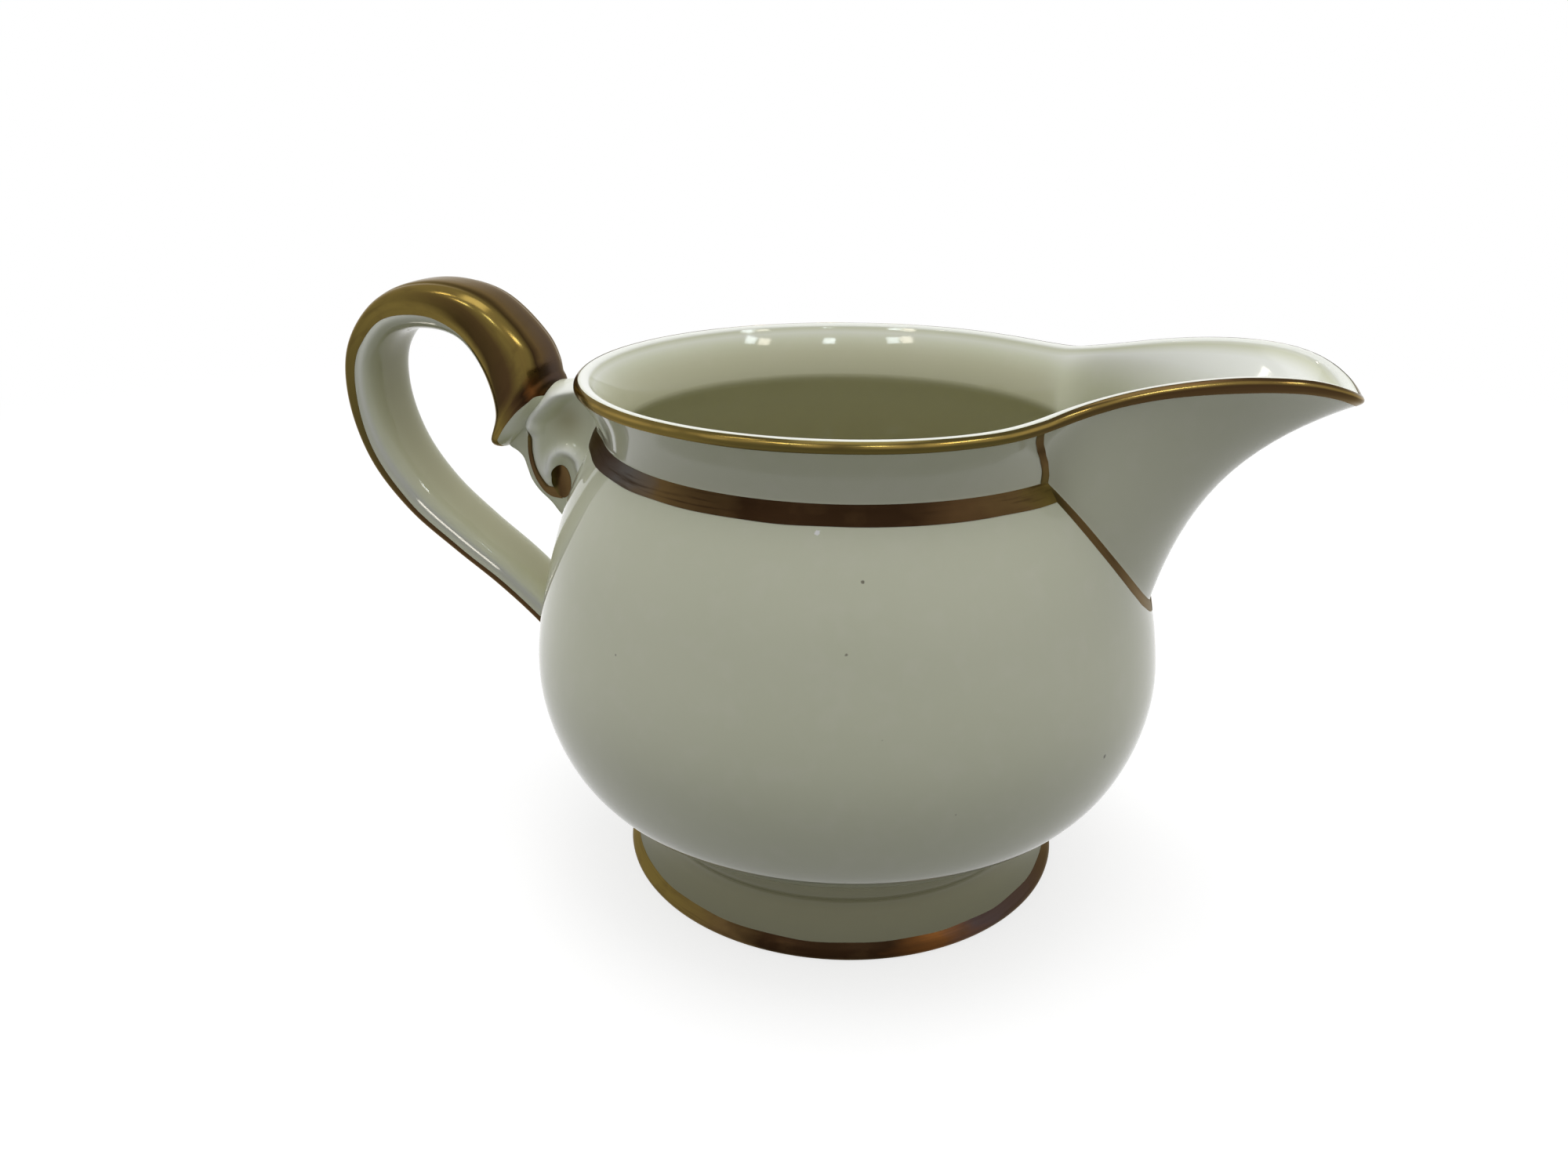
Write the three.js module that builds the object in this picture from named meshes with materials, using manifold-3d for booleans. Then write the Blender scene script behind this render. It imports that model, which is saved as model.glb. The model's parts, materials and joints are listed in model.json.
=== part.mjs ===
// Porcelain cream jug with gilt lines: bowl, foot, flared neck, long lifted spout, looped handle and scroll.
// Millimetres, +Z up. +X points along the spout, the handle is on the -X side, and the jug stands on z = 0.

import * as THREE from 'three';
import { mergeVertices } from 'three/addons/utils/BufferGeometryUtils.js';
import Module from 'manifold-3d';

const wasm = await Module();
wasm.setup();
const { Manifold, Mesh } = wasm;

// Bowl

const bowlRadius = 45;
const bowlHeight = 53.8;
const bowlWall = 2.3;
const bowlFloor = 3.2;
// Height, as a share of the way from the underside to the crease, and radius, as a share of the bowl's.
const bowlProfileShares = [
  [0.0, 0.642], [0.037, 0.773], [0.125, 0.9], [0.245, 0.971], [0.377, 1.0], [0.511, 0.984],
  [0.641, 0.947], [0.771, 0.902], [0.898, 0.838], [0.961, 0.791], [1.0, 0.7524],
];

// Neck, from the bowl's shoulder crease up and out to the rim

const neckHeight = 8.2;
const rimFlare = 2.44;
const lipHalfThickness = 1.1;
const lipOuterDrop = 1.1;
const lipInnerDrop = 0.6;

// Spout: how far it stands out beyond the round rim and rises over it, and the vee that it fills in the bowl

const spoutOverhang = 27.2;
const spoutRise = 4.85;
const veeDepth = 20.6;
const veeHalfAngle = 31;
const veeStraightShare = 0.25;
const veePower = 1.6;
const uprightTopAngle = 36.6;
const lipJoinAngle = 62;
const lipPastAngle = 76;
// Half of the lip, from the tip back to the round rim: place along the spout's reach, half width as a share
// of the rim's radius, and height over the rim as a share of the rise.
const lipShares = [
  [1.0, 0.0, 0.27], [0.991, 0.13, 0.43], [0.958, 0.22, 0.72], [0.909, 0.275, 0.92],
  [0.85, 0.315, 1.0], [0.772, 0.35, 0.99], [0.677, 0.394, 0.856], [0.598, 0.433, 0.66],
  [0.535, 0.482, 0.454], [0.488, 0.543, 0.289], [0.441, 0.631, 0.124], [0.378, 0.747, 0.03],
];
// How the wall leaves the shoulder and reaches the lip, at the round neck and at the spout's tip.
const neckFlareShares = { startLength: 0.372, startLean: 0.161, endLength: 0.396, endSlope: 1.377 };
const tipFlareShares = { startLength: 0.548, startLean: 0.195, endLength: 0.548, endSlope: 0.44 };

// Foot ring: a bead under the bowl, a waist, a flare out to the lip, and a narrow flat ring to stand on

const footHeight = 11.6;
const footWall = 3;
const footWaistStep = 0.6;
const footBeadDepth = 1.1;
const footFlare = 3.5;
const footLipTurn = 0.6;
const footStandingWidth = 1.5;
// Heights of the outside, as shares of the foot's height.
const footBeadTopShare = 0.905;
const footBeadMiddleShare = 0.845;
const footBeadFootShare = 0.755;
const footWaistShare = 0.61;
const footFlareStartShare = 0.4;
const footGiltTopShare = 0.2;
const footLipShare = 0.07;

// Gilding

const giltThickness = 0.12;
const neckBandWidth = 2.1;
const veeLineWidth = 1.25;
const uprightWidth = 1.6;
const rimLineWidth = 0.3;
const lipLineWidth = 1.0;
const lipGiltAngle = 68;
const scrollLineWidth = 0.75;
const scrollEyeLength = 5.2;
const scrollEyeWidth = 3.0;

// Handle strap, in the jug's mirror plane. Each station is a point on the inner edge and one on the outer,
// as distances from the jug's axis towards the handle, and heights, as shares of the handle's reach and top.
// The last stations lie inside the bowl's wall, which cuts the strap off.

const handleStandOff = 33.8;
const handleRise = 10;
const strapTopWidth = 12;
const strapLowWidth = 10;
const strapSquareness = 2.4;
const strapStationShares = [
  { inner: [0.699, 0.709], outer: [0.57, 0.84] },
  { inner: [0.68, 0.762], outer: [0.577, 0.868] },
  { inner: [0.697, 0.838], outer: [0.597, 0.903] },
  { inner: [0.737, 0.893], outer: [0.686, 0.976] },
  { inner: [0.797, 0.91], outer: [0.801, 0.996] },
  { inner: [0.872, 0.9], outer: [0.909, 0.966] },
  { inner: [0.912, 0.856], outer: [0.985, 0.882] },
  { inner: [0.92, 0.785], outer: [1.002, 0.781] },
  { inner: [0.893, 0.698], outer: [0.97, 0.661] },
  { inner: [0.834, 0.619], outer: [0.894, 0.565] },
  { inner: [0.753, 0.552], outer: [0.799, 0.494] },
  { inner: [0.661, 0.487], outer: [0.706, 0.431] },
  { inner: [0.571, 0.41], outer: [0.624, 0.365] },
  { inner: [0.49, 0.33], outer: [0.55, 0.287] },
  { inner: [0.41, 0.25], outer: [0.477, 0.209] },
];
// Half of the gilt back's span round the strap's section, in degrees, at even steps from the top end down.
const giltSpanAngles = [150, 144, 120, 98, 87, 77, 71, 67, 66, 66, 66];

// Handle scroll, in the same plane and shares.

const scrollHalfThickness = 4.4;
const scrollShoulderHalfThickness = 5.4;
const volutePlace = { reachShare: 0.546, heightShare: 0.658 };
const voluteRadius = 4.3;
const voluteRidgeWidth = 1.7;
const voluteHalfThickness = 5;
const voluteStartAngle = -70;
const voluteEndAngle = 158;
const luteGap = 0.3;
const scrollOutlineShares = [
  [0.57, 0.84], [0.53, 0.806], [0.49, 0.794], [0.43, 0.79], [0.3, 0.79], [0.3, 0.54],
  [0.508, 0.545], [0.539, 0.574], [0.555, 0.594], [0.569, 0.608], [0.584, 0.622], [0.599, 0.64],
  [0.612, 0.664], [0.619, 0.688], [0.632, 0.709], [0.656, 0.714], [0.672, 0.716],
];
const scrollShoulderShares = [
  [0.57, 0.84], [0.53, 0.806], [0.49, 0.794], [0.43, 0.79],
  [0.3, 0.79], [0.3, 0.745], [0.52, 0.745], [0.63, 0.745],
];
const commaShares = [
  [0.604, 0.744], [0.607, 0.713], [0.603, 0.679], [0.591, 0.651], [0.572, 0.632], [0.55, 0.63],
];

// Points closer than this are one point
const weldDistance = 1e-4;

// Facet counts

const spoutColumns = 11;
const neckColumns = 18;
const wallRows = 7;
const innerRows = 6;
const bowlOuterRows = 13;
const bowlInnerRows = 10;
const strapRings = 40;
const giltHalfColumns = 4;
const bareHalfColumns = 6;

// Heights and radii that follow from the sizes above

const creaseHeight = footHeight + bowlHeight;
const rimHeight = creaseHeight + neckHeight;
const undersideRadius = bowlRadius * bowlProfileShares[0][1];
const creaseRadius = bowlRadius * bowlProfileShares[bowlProfileShares.length - 1][1];
const rimRadius = creaseRadius + rimFlare;
const spoutReach = rimRadius + spoutOverhang;
const veeApexHeight = creaseHeight - veeDepth;
const footWaistRadius = undersideRadius + footWaistStep;
const footBeadRadius = footWaistRadius + footBeadDepth;
const footRadius = footWaistRadius + footFlare;
const footInnerRadius = undersideRadius - footWall;
const footStandingOuterRadius = footRadius - footLipTurn;
const footStandingInnerRadius = footStandingOuterRadius - footStandingWidth;
const handleReach = bowlRadius + handleStandOff;
const handleTop = rimHeight + handleRise;

// Colours read from the photograph

const porcelain = () => new THREE.MeshStandardMaterial({ color: '#e6e3cf', roughness: 0.12, metalness: 0 });
const gold = () => new THREE.MeshStandardMaterial({ color: '#8a6a30', roughness: 0.36, metalness: 1 });

// Small helpers

const v3 = (x, y, z) => new THREE.Vector3(x, y, z);
const lerp = (a, b, t) => a + (b - a) * t;
const radians = THREE.MathUtils.degToRad;
const smooth = (t) => t * t * (3 - 2 * t);

function bezier(p0, p1, p2, p3, t) {
  return new THREE.CubicBezierCurve3(p0, p1, p2, p3).getPoint(t);
}

function geometryOf(points, faces) {
  const geometry = new THREE.BufferGeometry();
  const numbers = points.flatMap((p) => [p.x, p.y, p.z]);
  geometry.setAttribute('position', new THREE.Float32BufferAttribute(numbers, 3));
  geometry.setIndex(faces);
  return geometry;
}

function pieceOf(name, geometry, material) {
  geometry.computeVertexNormals();
  const mesh = new THREE.Mesh(geometry, material);
  mesh.name = name;
  return mesh;
}

// A closed ring of closed sections: loops[i] is section i, and the last section joins the first.
function ringSolid(loops) {
  const m = loops[0].length;
  const faces = [];
  for (let i = 0; i < loops.length; i += 1) {
    const next = (i + 1) % loops.length;
    for (let j = 0; j < m; j += 1) {
      const k = (j + 1) % m;
      faces.push(i * m + j, next * m + j, next * m + k, i * m + j, next * m + k, i * m + k);
    }
  }
  return geometryOf(loops.flat(), faces);
}

// A run of closed sections with a cap at each end.
function runSolid(loops) {
  const m = loops[0].length;
  const faces = [];
  for (let i = 0; i + 1 < loops.length; i += 1) {
    for (let j = 0; j < m; j += 1) {
      const k = (j + 1) % m;
      faces.push(i * m + j, (i + 1) * m + j, (i + 1) * m + k, i * m + j, (i + 1) * m + k, i * m + k);
    }
  }
  const points = loops.flat();
  const capOf = (loop, start, flip) => {
    const middle = loop.reduce((sum, p) => sum.add(p), v3(0, 0, 0)).divideScalar(m);
    points.push(middle);
    for (let j = 0; j < m; j += 1) {
      const k = (j + 1) % m;
      if (flip) faces.push(points.length - 1, start + k, start + j);
      else faces.push(points.length - 1, start + j, start + k);
    }
  };
  capOf(loops[0], 0, false);
  capOf(loops[loops.length - 1], (loops.length - 1) * m, true);
  return geometryOf(points, faces);
}

// A closed shell over a patch of a surface: base points, and the same points lifted along their normals.
function patchShell(base, normals, closed) {
  const loops = [];
  for (let i = 0; i < base.length; i += 1) {
    const low = base[i];
    const high = low.map((p, j) => p.clone().addScaledVector(normals[i][j], giltThickness));
    loops.push([...low, ...high.reverse()]);
  }
  return closed ? ringSolid(loops) : flatRunSolid(loops);
}

// As runSolid, for sections that are thin strips, whose caps are strips of facets too.
function flatRunSolid(loops) {
  const m = loops[0].length;
  const faces = [];
  for (let i = 0; i + 1 < loops.length; i += 1) {
    for (let j = 0; j < m; j += 1) {
      const k = (j + 1) % m;
      faces.push(i * m + j, (i + 1) * m + j, (i + 1) * m + k, i * m + j, (i + 1) * m + k, i * m + k);
    }
  }
  const last = (loops.length - 1) * m;
  for (let j = 0; j + 1 < m / 2; j += 1) {
    const a = j;
    const b = j + 1;
    const c = m - 2 - j;
    const d = m - 1 - j;
    faces.push(a, b, c, a, c, d);
    faces.push(last + a, last + c, last + b, last + a, last + d, last + c);
  }
  return geometryOf(loops.flat(), faces);
}

// Turns every facet the right way round, outwards.
function outward(geometry) {
  const position = geometry.getAttribute('position');
  const index = geometry.getIndex();
  let volume = 0;
  const a = v3(0, 0, 0);
  const b = v3(0, 0, 0);
  const c = v3(0, 0, 0);
  for (let i = 0; i < index.count; i += 3) {
    a.fromBufferAttribute(position, index.getX(i));
    b.fromBufferAttribute(position, index.getX(i + 1));
    c.fromBufferAttribute(position, index.getX(i + 2));
    volume += a.dot(b.cross(c));
  }
  if (volume < 0) {
    for (let i = 0; i < index.count; i += 3) {
      const first = index.getX(i);
      index.setX(i, index.getX(i + 1));
      index.setX(i + 1, first);
    }
  }
  return geometry;
}

// Solids for joining and cutting

function toManifold(geometry) {
  const merged = geometry.clone();
  merged.deleteAttribute('normal');
  merged.deleteAttribute('uv');
  const clean = mergeVertices(merged, weldDistance);
  const mesh = new Mesh({
    numProp: 3,
    vertProperties: new Float32Array(clean.getAttribute('position').array),
    triVerts: new Uint32Array(clean.getIndex().array),
  });
  return new Manifold(mesh);
}

function fromManifold(solid) {
  const mesh = solid.getMesh();
  const geometry = new THREE.BufferGeometry();
  geometry.setAttribute('position', new THREE.BufferAttribute(new Float32Array(mesh.vertProperties), 3));
  geometry.setIndex(new THREE.BufferAttribute(new Uint32Array(mesh.triVerts), 1));
  return geometry;
}

// Bowl profile: radius at a height

const profileCurve = new THREE.CatmullRomCurve3(
  bowlProfileShares.map(([h, r]) => v3(bowlRadius * r, 0, footHeight + bowlHeight * h)),
  false,
  'centripetal',
);
const profilePoints = profileCurve.getPoints(bowlProfileShares.length * 24);

function bowlRadiusAt(z) {
  const above = profilePoints.findIndex((p) => p.z >= z);
  if (above <= 0) return above === 0 ? profilePoints[0].x : profilePoints[profilePoints.length - 1].x;
  const low = profilePoints[above - 1];
  const high = profilePoints[above];
  return lerp(low.x, high.x, (z - low.z) / (high.z - low.z));
}

// Lip curve: the crest of the rim and spout

function lipPoint([along, across, rise], side) {
  return v3(spoutReach * along, side * rimRadius * across, rimHeight + spoutRise * rise);
}

function rimPoint(angle) {
  return v3(rimRadius * Math.cos(radians(angle)), rimRadius * Math.sin(radians(angle)), rimHeight);
}

const halfLip = lipShares.slice(1);
const lipCurve = new THREE.CatmullRomCurve3(
  [
    rimPoint(-lipPastAngle),
    rimPoint(-lipJoinAngle),
    ...halfLip.map((s) => lipPoint(s, -1)).reverse(),
    lipPoint(lipShares[0], 1),
    ...halfLip.map((s) => lipPoint(s, 1)),
    rimPoint(lipJoinAngle),
    rimPoint(lipPastAngle),
  ],
  false,
  'centripetal',
);
lipCurve.arcLengthDivisions = 800;
const lipLength = lipCurve.getLength();

const angleOf = (p) => THREE.MathUtils.radToDeg(Math.atan2(p.y, p.x));

// The curve's parameter at an angle round the jug, between the tip and the round rim.
function lipParameterAt(angle) {
  let low = 0.5;
  let high = 1;
  for (let i = 0; i < 40; i += 1) {
    const middle = (low + high) / 2;
    if (angleOf(lipCurve.getPointAt(middle)) < angle) low = middle;
    else high = middle;
  }
  return (low + high) / 2;
}

function lipFrame(u) {
  const point = lipCurve.getPointAt(u);
  const tangent = lipCurve.getTangentAt(u);
  const out = v3(tangent.y, -tangent.x, 0).normalize();
  return { point, out };
}

function rimFrame(angle) {
  if (angle < lipJoinAngle) return lipFrame(lipParameterAt(angle));
  return { point: rimPoint(angle), out: v3(Math.cos(radians(angle)), Math.sin(radians(angle)), 0) };
}

// Columns: from the spout's tip round one side to the handle

const uprightFootAngle = THREE.MathUtils.radToDeg(uprightWidth / creaseRadius);
const uprightParameter = lipParameterAt(uprightTopAngle);
const uprightTopStep = uprightWidth / lipLength;
const neckTopAngle = angleOf(lipCurve.getPointAt(uprightParameter + uprightTopStep));

function veeHeight(angle) {
  const share = Math.min(1, Math.abs(angle) / veeHalfAngle);
  const rise = veeStraightShare * share + (1 - veeStraightShare) * share ** veePower;
  return lerp(veeApexHeight, creaseHeight, rise);
}

function stripDrop(angle) {
  const share = Math.abs(angle) / veeHalfAngle;
  if (share >= 1) return neckBandWidth;
  const rise = veeStraightShare + (1 - veeStraightShare) * veePower * share ** (veePower - 1);
  const run = radians(veeHalfAngle) * bowlRadiusAt(veeHeight(angle));
  const slope = ((creaseHeight - veeApexHeight) * rise) / run;
  return Math.min(neckBandWidth, veeLineWidth * Math.hypot(1, slope));
}

function columnOf(k) {
  let footAngle;
  let lip;
  let tipShare = 0;
  if (k <= spoutColumns) {
    const share = k / spoutColumns;
    footAngle = veeHalfAngle * share;
    lip = lipFrame(lerp(0.5, uprightParameter, share ** 1.2));
    tipShare = smooth(1 - share);
  } else if (k === spoutColumns + 1) {
    footAngle = veeHalfAngle + uprightFootAngle;
    lip = lipFrame(uprightParameter + uprightTopStep);
  } else {
    const share = (k - spoutColumns - 1) / neckColumns;
    footAngle = lerp(veeHalfAngle + uprightFootAngle, 180, share);
    lip = rimFrame(lerp(neckTopAngle, 180, share));
  }
  return { footAngle, lip, tipShare };
}

const halfColumns = [];
for (let k = 0; k <= spoutColumns + 1 + neckColumns; k += 1) halfColumns.push(columnOf(k));

function mirrored(column) {
  const { footAngle, lip, tipShare } = column;
  const flip = v3(1, -1, 1);
  const nearLip = { point: lip.point.clone().multiply(flip), out: lip.out.clone().multiply(flip) };
  return { footAngle: -footAngle, lip: nearLip, tipShare };
}

// All round: the far side from the tip to the handle, then the near side back to the tip.
const columns = [...halfColumns, ...halfColumns.slice(1, -1).reverse().map(mirrored)];
const lastHalfColumn = halfColumns.length - 1;

// Outer surface, column by column, grown outwards by an allowance when it is used to cut what meets it

function wallPoint(column, t, inside, grow) {
  const { footAngle, lip, tipShare } = column;
  const radial = v3(Math.cos(radians(footAngle)), Math.sin(radians(footAngle)), 0);
  const footHeight = veeHeight(footAngle);
  const footRadiusHere = bowlRadiusAt(footHeight) - (inside ? bowlWall : 0) + grow;
  const foot = radial.clone().multiplyScalar(footRadiusHere).setZ(footHeight);
  const lipOffset = inside ? -lipHalfThickness : lipHalfThickness + grow;
  const lipDrop = inside ? lipInnerDrop : lipOuterDrop;
  const top = lip.point.clone().addScaledVector(lip.out, lipOffset);
  top.z -= lipDrop;
  const height = top.z - foot.z;
  const reach = Math.hypot(top.x - foot.x, top.y - foot.y);
  const flare = (key) => lerp(neckFlareShares[key], tipFlareShares[key], tipShare);
  const low = foot.clone().addScaledVector(radial, flare('startLength') * height * flare('startLean'));
  low.z += flare('startLength') * height;
  const high = top.clone().addScaledVector(lip.out, -flare('endLength') * reach);
  high.z -= flare('endLength') * reach * flare('endSlope');
  return bezier(foot, low, high, top, t);
}

// Where the gilt line under the lip starts, as a share of the wall.
function lineStart(column) {
  const width = lerp(rimLineWidth, lipLineWidth, smooth(Math.min(1, column.tipShare * 2)));
  const top = wallPoint(column, 1, false, 0);
  let low = 0;
  let high = 1;
  for (let i = 0; i < 30; i += 1) {
    const middle = (low + high) / 2;
    if (wallPoint(column, middle, false, 0).distanceTo(top) > width) low = middle;
    else high = middle;
  }
  return high;
}

function wallColumn(column, grow) {
  const start = lineStart(column);
  const points = [];
  for (let i = 0; i <= wallRows; i += 1) points.push(wallPoint(column, (start * i) / wallRows, false, grow));
  points.push(wallPoint(column, 1, false, grow));
  return points;
}

function crestColumn(column) {
  const { point, out } = column.lip;
  const at = (angle, drop) => {
    const a = radians(angle);
    const p = point.clone().addScaledVector(out, lipHalfThickness * Math.cos(a));
    p.z -= drop * (1 - Math.sin(a));
    return p;
  };
  return [
    at(lipGiltAngle / 2, lipOuterDrop),
    at(lipGiltAngle, lipOuterDrop),
    at(90, lipOuterDrop),
    at(130, lipInnerDrop),
  ];
}

function innerColumn(column) {
  const points = [];
  for (let i = 0; i <= innerRows; i += 1) points.push(wallPoint(column, 1 - i / innerRows, true, 0));
  return points;
}

function bowlColumn(column, grow) {
  const { footAngle } = column;
  const radial = v3(Math.cos(radians(footAngle)), Math.sin(radians(footAngle)), 0);
  const top = veeHeight(footAngle);
  const strip = top - stripDrop(footAngle);
  const at = (z) => radial.clone().multiplyScalar(bowlRadiusAt(z) + grow).setZ(z);
  const points = [at(top), at(strip)];
  for (let i = 1; i <= bowlOuterRows; i += 1) {
    const share = i / bowlOuterRows;
    points.push(at(lerp(strip, footHeight, 1 - (1 - share) ** 1.45)));
  }
  return points;
}

// The bowl's inside follows its outside, one wall in, and is level with the crease at the top.
function bowlInnerColumn(column) {
  const { footAngle } = column;
  const radial = v3(Math.cos(radians(footAngle)), Math.sin(radians(footAngle)), 0);
  const top = veeHeight(footAngle);
  const floorHeight = footHeight + bowlFloor;
  const points = [];
  for (let i = 0; i <= bowlInnerRows; i += 1) {
    const share = i / bowlInnerRows;
    const z = lerp(top, footHeight + bowlWall / 2, 1 - (1 - share) ** 1.45);
    const step = bowlWall / 4;
    const rise = bowlRadiusAt(z + step) - bowlRadiusAt(z - step);
    const length = Math.hypot(rise, 2 * step);
    const turn = smooth(Math.min(1, share * 3));
    const inward = lerp(1, (2 * step) / length, turn);
    const upward = (rise / length) * turn;
    const point = radial.clone().multiplyScalar(bowlRadiusAt(z) - bowlWall * inward);
    point.z = Math.max(z + bowlWall * upward, floorHeight);
    points.push(point);
  }
  return points;
}

const outerWalls = columns.map((c) => wallColumn(c, 0));
const crests = columns.map(crestColumn);
const innerWalls = columns.map(innerColumn);
const outerBowls = columns.map((c) => bowlColumn(c, 0));
const innerBowls = columns.map(bowlInnerColumn);

// Normals of the whole outer surface, from the underside up to the lip, for what is painted on it

const outerRows = outerBowls.map((low, j) => [...low.slice(1).reverse(), ...outerWalls[j], ...crests[j]]);
const creaseRow = outerBowls[0].length - 1;

const outerNormals = outerRows.map((column, j) => column.map((_, i) => {
  const next = outerRows[(j + 1) % outerRows.length][i];
  const previous = outerRows[(j + outerRows.length - 1) % outerRows.length][i];
  const above = column[Math.min(i + 1, column.length - 1)];
  const below = column[Math.max(i - 1, 0)];
  const round = next.clone().sub(previous);
  return round.cross(above.clone().sub(below)).normalize();
}));

// Porcelain pieces

function bowl() {
  const loops = columns.map((_, j) => [...outerBowls[j], ...innerBowls[j].slice().reverse()]);
  const m = loops[0].length;
  const outerCount = outerBowls[0].length;
  const points = loops.flat();
  const faces = [];
  for (let i = 0; i < loops.length; i += 1) {
    const next = (i + 1) % loops.length;
    for (let j = 0; j < m; j += 1) {
      if (j === outerCount - 1) continue;
      const k = (j + 1) % m;
      faces.push(i * m + j, next * m + j, next * m + k, i * m + j, next * m + k, i * m + k);
    }
  }
  const under = points.push(v3(0, 0, footHeight)) - 1;
  const floor = points.push(v3(0, 0, footHeight + bowlFloor)) - 1;
  for (let i = 0; i < loops.length; i += 1) {
    const next = (i + 1) % loops.length;
    faces.push(i * m + outerCount - 1, next * m + outerCount - 1, under);
    faces.push(next * m + outerCount, i * m + outerCount, floor);
  }
  return pieceOf('bowl', outward(geometryOf(points, faces)), porcelain());
}

function wallLoop(j) {
  return [...outerWalls[j], ...crests[j], ...innerWalls[j]];
}

const columnAt = (index) => (index + columns.length) % columns.length;

function spout() {
  const loops = [];
  for (let k = -spoutColumns; k <= spoutColumns; k += 1) loops.push(wallLoop(columnAt(k)));
  return pieceOf('spout', outward(stripCapped(loops)), porcelain());
}

function neckCollar() {
  const loops = [];
  for (let k = spoutColumns; k <= columns.length - spoutColumns; k += 1) loops.push(wallLoop(columnAt(k)));
  return pieceOf('neck_collar', outward(stripCapped(loops)), porcelain());
}

// A run of wall sections whose end faces are split between outer and inner points, alike on both pieces.
function stripCapped(loops) {
  const m = loops[0].length;
  const faces = [];
  for (let i = 0; i + 1 < loops.length; i += 1) {
    for (let j = 0; j < m; j += 1) {
      const k = (j + 1) % m;
      faces.push(i * m + j, (i + 1) * m + j, (i + 1) * m + k, i * m + j, (i + 1) * m + k, i * m + k);
    }
  }
  const last = (loops.length - 1) * m;
  let low = 0;
  let high = m - 1;
  let lowTurn = true;
  while (high - low > 1) {
    const next = lowTurn ? low + 1 : high - 1;
    faces.push(low, next, high);
    faces.push(last + low, last + high, last + next);
    if (lowTurn) low += 1;
    else high -= 1;
    lowTurn = !lowTurn;
  }
  return geometryOf(loops.flat(), faces);
}

const footAt = (share) => footHeight * share;

function footRing() {
  const outside = [
    [undersideRadius, footAt(1)],
    [footBeadRadius - footBeadDepth * 0.35, footAt(footBeadTopShare)],
    [footBeadRadius, footAt(footBeadMiddleShare)],
    [footBeadRadius - footBeadDepth * 0.55, footAt(footBeadFootShare)],
    [footWaistRadius, footAt(footWaistShare)],
    [footWaistRadius + footFlare * 0.16, footAt(footFlareStartShare)],
    [footWaistRadius + footFlare * 0.36, footAt((footFlareStartShare + footGiltTopShare) / 2)],
    ...footGiltProfile(),
  ];
  const inside = [
    [footStandingOuterRadius, 0],
    [footStandingInnerRadius, 0],
    [footStandingInnerRadius - footLipTurn, footAt(0.05)],
    [footStandingInnerRadius - footLipTurn * 2.4, footAt(0.22)],
    [lerp(footInnerRadius, footStandingInnerRadius, 0.24), footAt(0.5)],
    [footInnerRadius, footAt(0.8)],
    [footInnerRadius, footAt(1)],
  ];
  const profile = [...outside, ...inside];
  const loops = columns.map((c) => turned(profile, c.footAngle));
  return pieceOf('foot_ring', outward(ringSolid(loops)), porcelain());
}

function footGiltProfile() {
  return [
    [footWaistRadius + footFlare * 0.63, footAt(footGiltTopShare)],
    [footWaistRadius + footFlare * 0.88, footAt((footGiltTopShare + footLipShare) / 2)],
    [footRadius, footAt(footLipShare)],
    [footRadius - footLipTurn * 0.35, footAt(footLipShare / 3)],
  ];
}

function turned(profile, angle) {
  return profile.map(([r, z]) => v3(r * Math.cos(radians(angle)), r * Math.sin(radians(angle)), z));
}

// Handle

const planePoint = ([reach, height]) => v3(-handleReach * reach, 0, handleTop * height);
const planeCurve = (shares) => new THREE.CatmullRomCurve3(shares.map(planePoint), false, 'centripetal');
const strapInner = planeCurve(strapStationShares.map((s) => s.inner));
const strapOuter = planeCurve(strapStationShares.map((s) => s.outer));

function giltSpan(share) {
  const place = share * (giltSpanAngles.length - 1);
  const low = Math.min(Math.floor(place), giltSpanAngles.length - 2);
  return lerp(giltSpanAngles[low], giltSpanAngles[low + 1], place - low);
}

// One section of the strap, round from the middle of its back, with a vertex at the edge of the gilding.
function strapSection(share) {
  const inner = strapInner.getPoint(share);
  const outer = strapOuter.getPoint(share);
  const middle = inner.clone().lerp(outer, 0.5);
  const half = outer.clone().sub(inner).multiplyScalar(0.5);
  const taper = smooth(Math.min(1, Math.max(0, share * 1.6 - 0.6)));
  const halfWidth = lerp(strapTopWidth, strapLowWidth, taper) / 2;
  const span = giltSpan(share);
  const angles = [];
  for (let i = -giltHalfColumns; i <= giltHalfColumns; i += 1) angles.push((span * i) / giltHalfColumns);
  const bareColumns = 2 * bareHalfColumns;
  for (let i = 1; i < bareColumns; i += 1) angles.push(lerp(span, 360 - span, i / bareColumns));
  const power = 2 / strapSquareness;
  return angles.map((angle) => {
    const c = Math.cos(radians(angle));
    const s = Math.sin(radians(angle));
    const point = middle.clone().addScaledVector(half, Math.sign(c) * Math.abs(c) ** power);
    point.y += halfWidth * Math.sign(s) * Math.abs(s) ** power;
    return point;
  });
}

const strapSections = [];
for (let i = 0; i <= strapRings; i += 1) strapSections.push(strapSection(i / strapRings));

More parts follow.
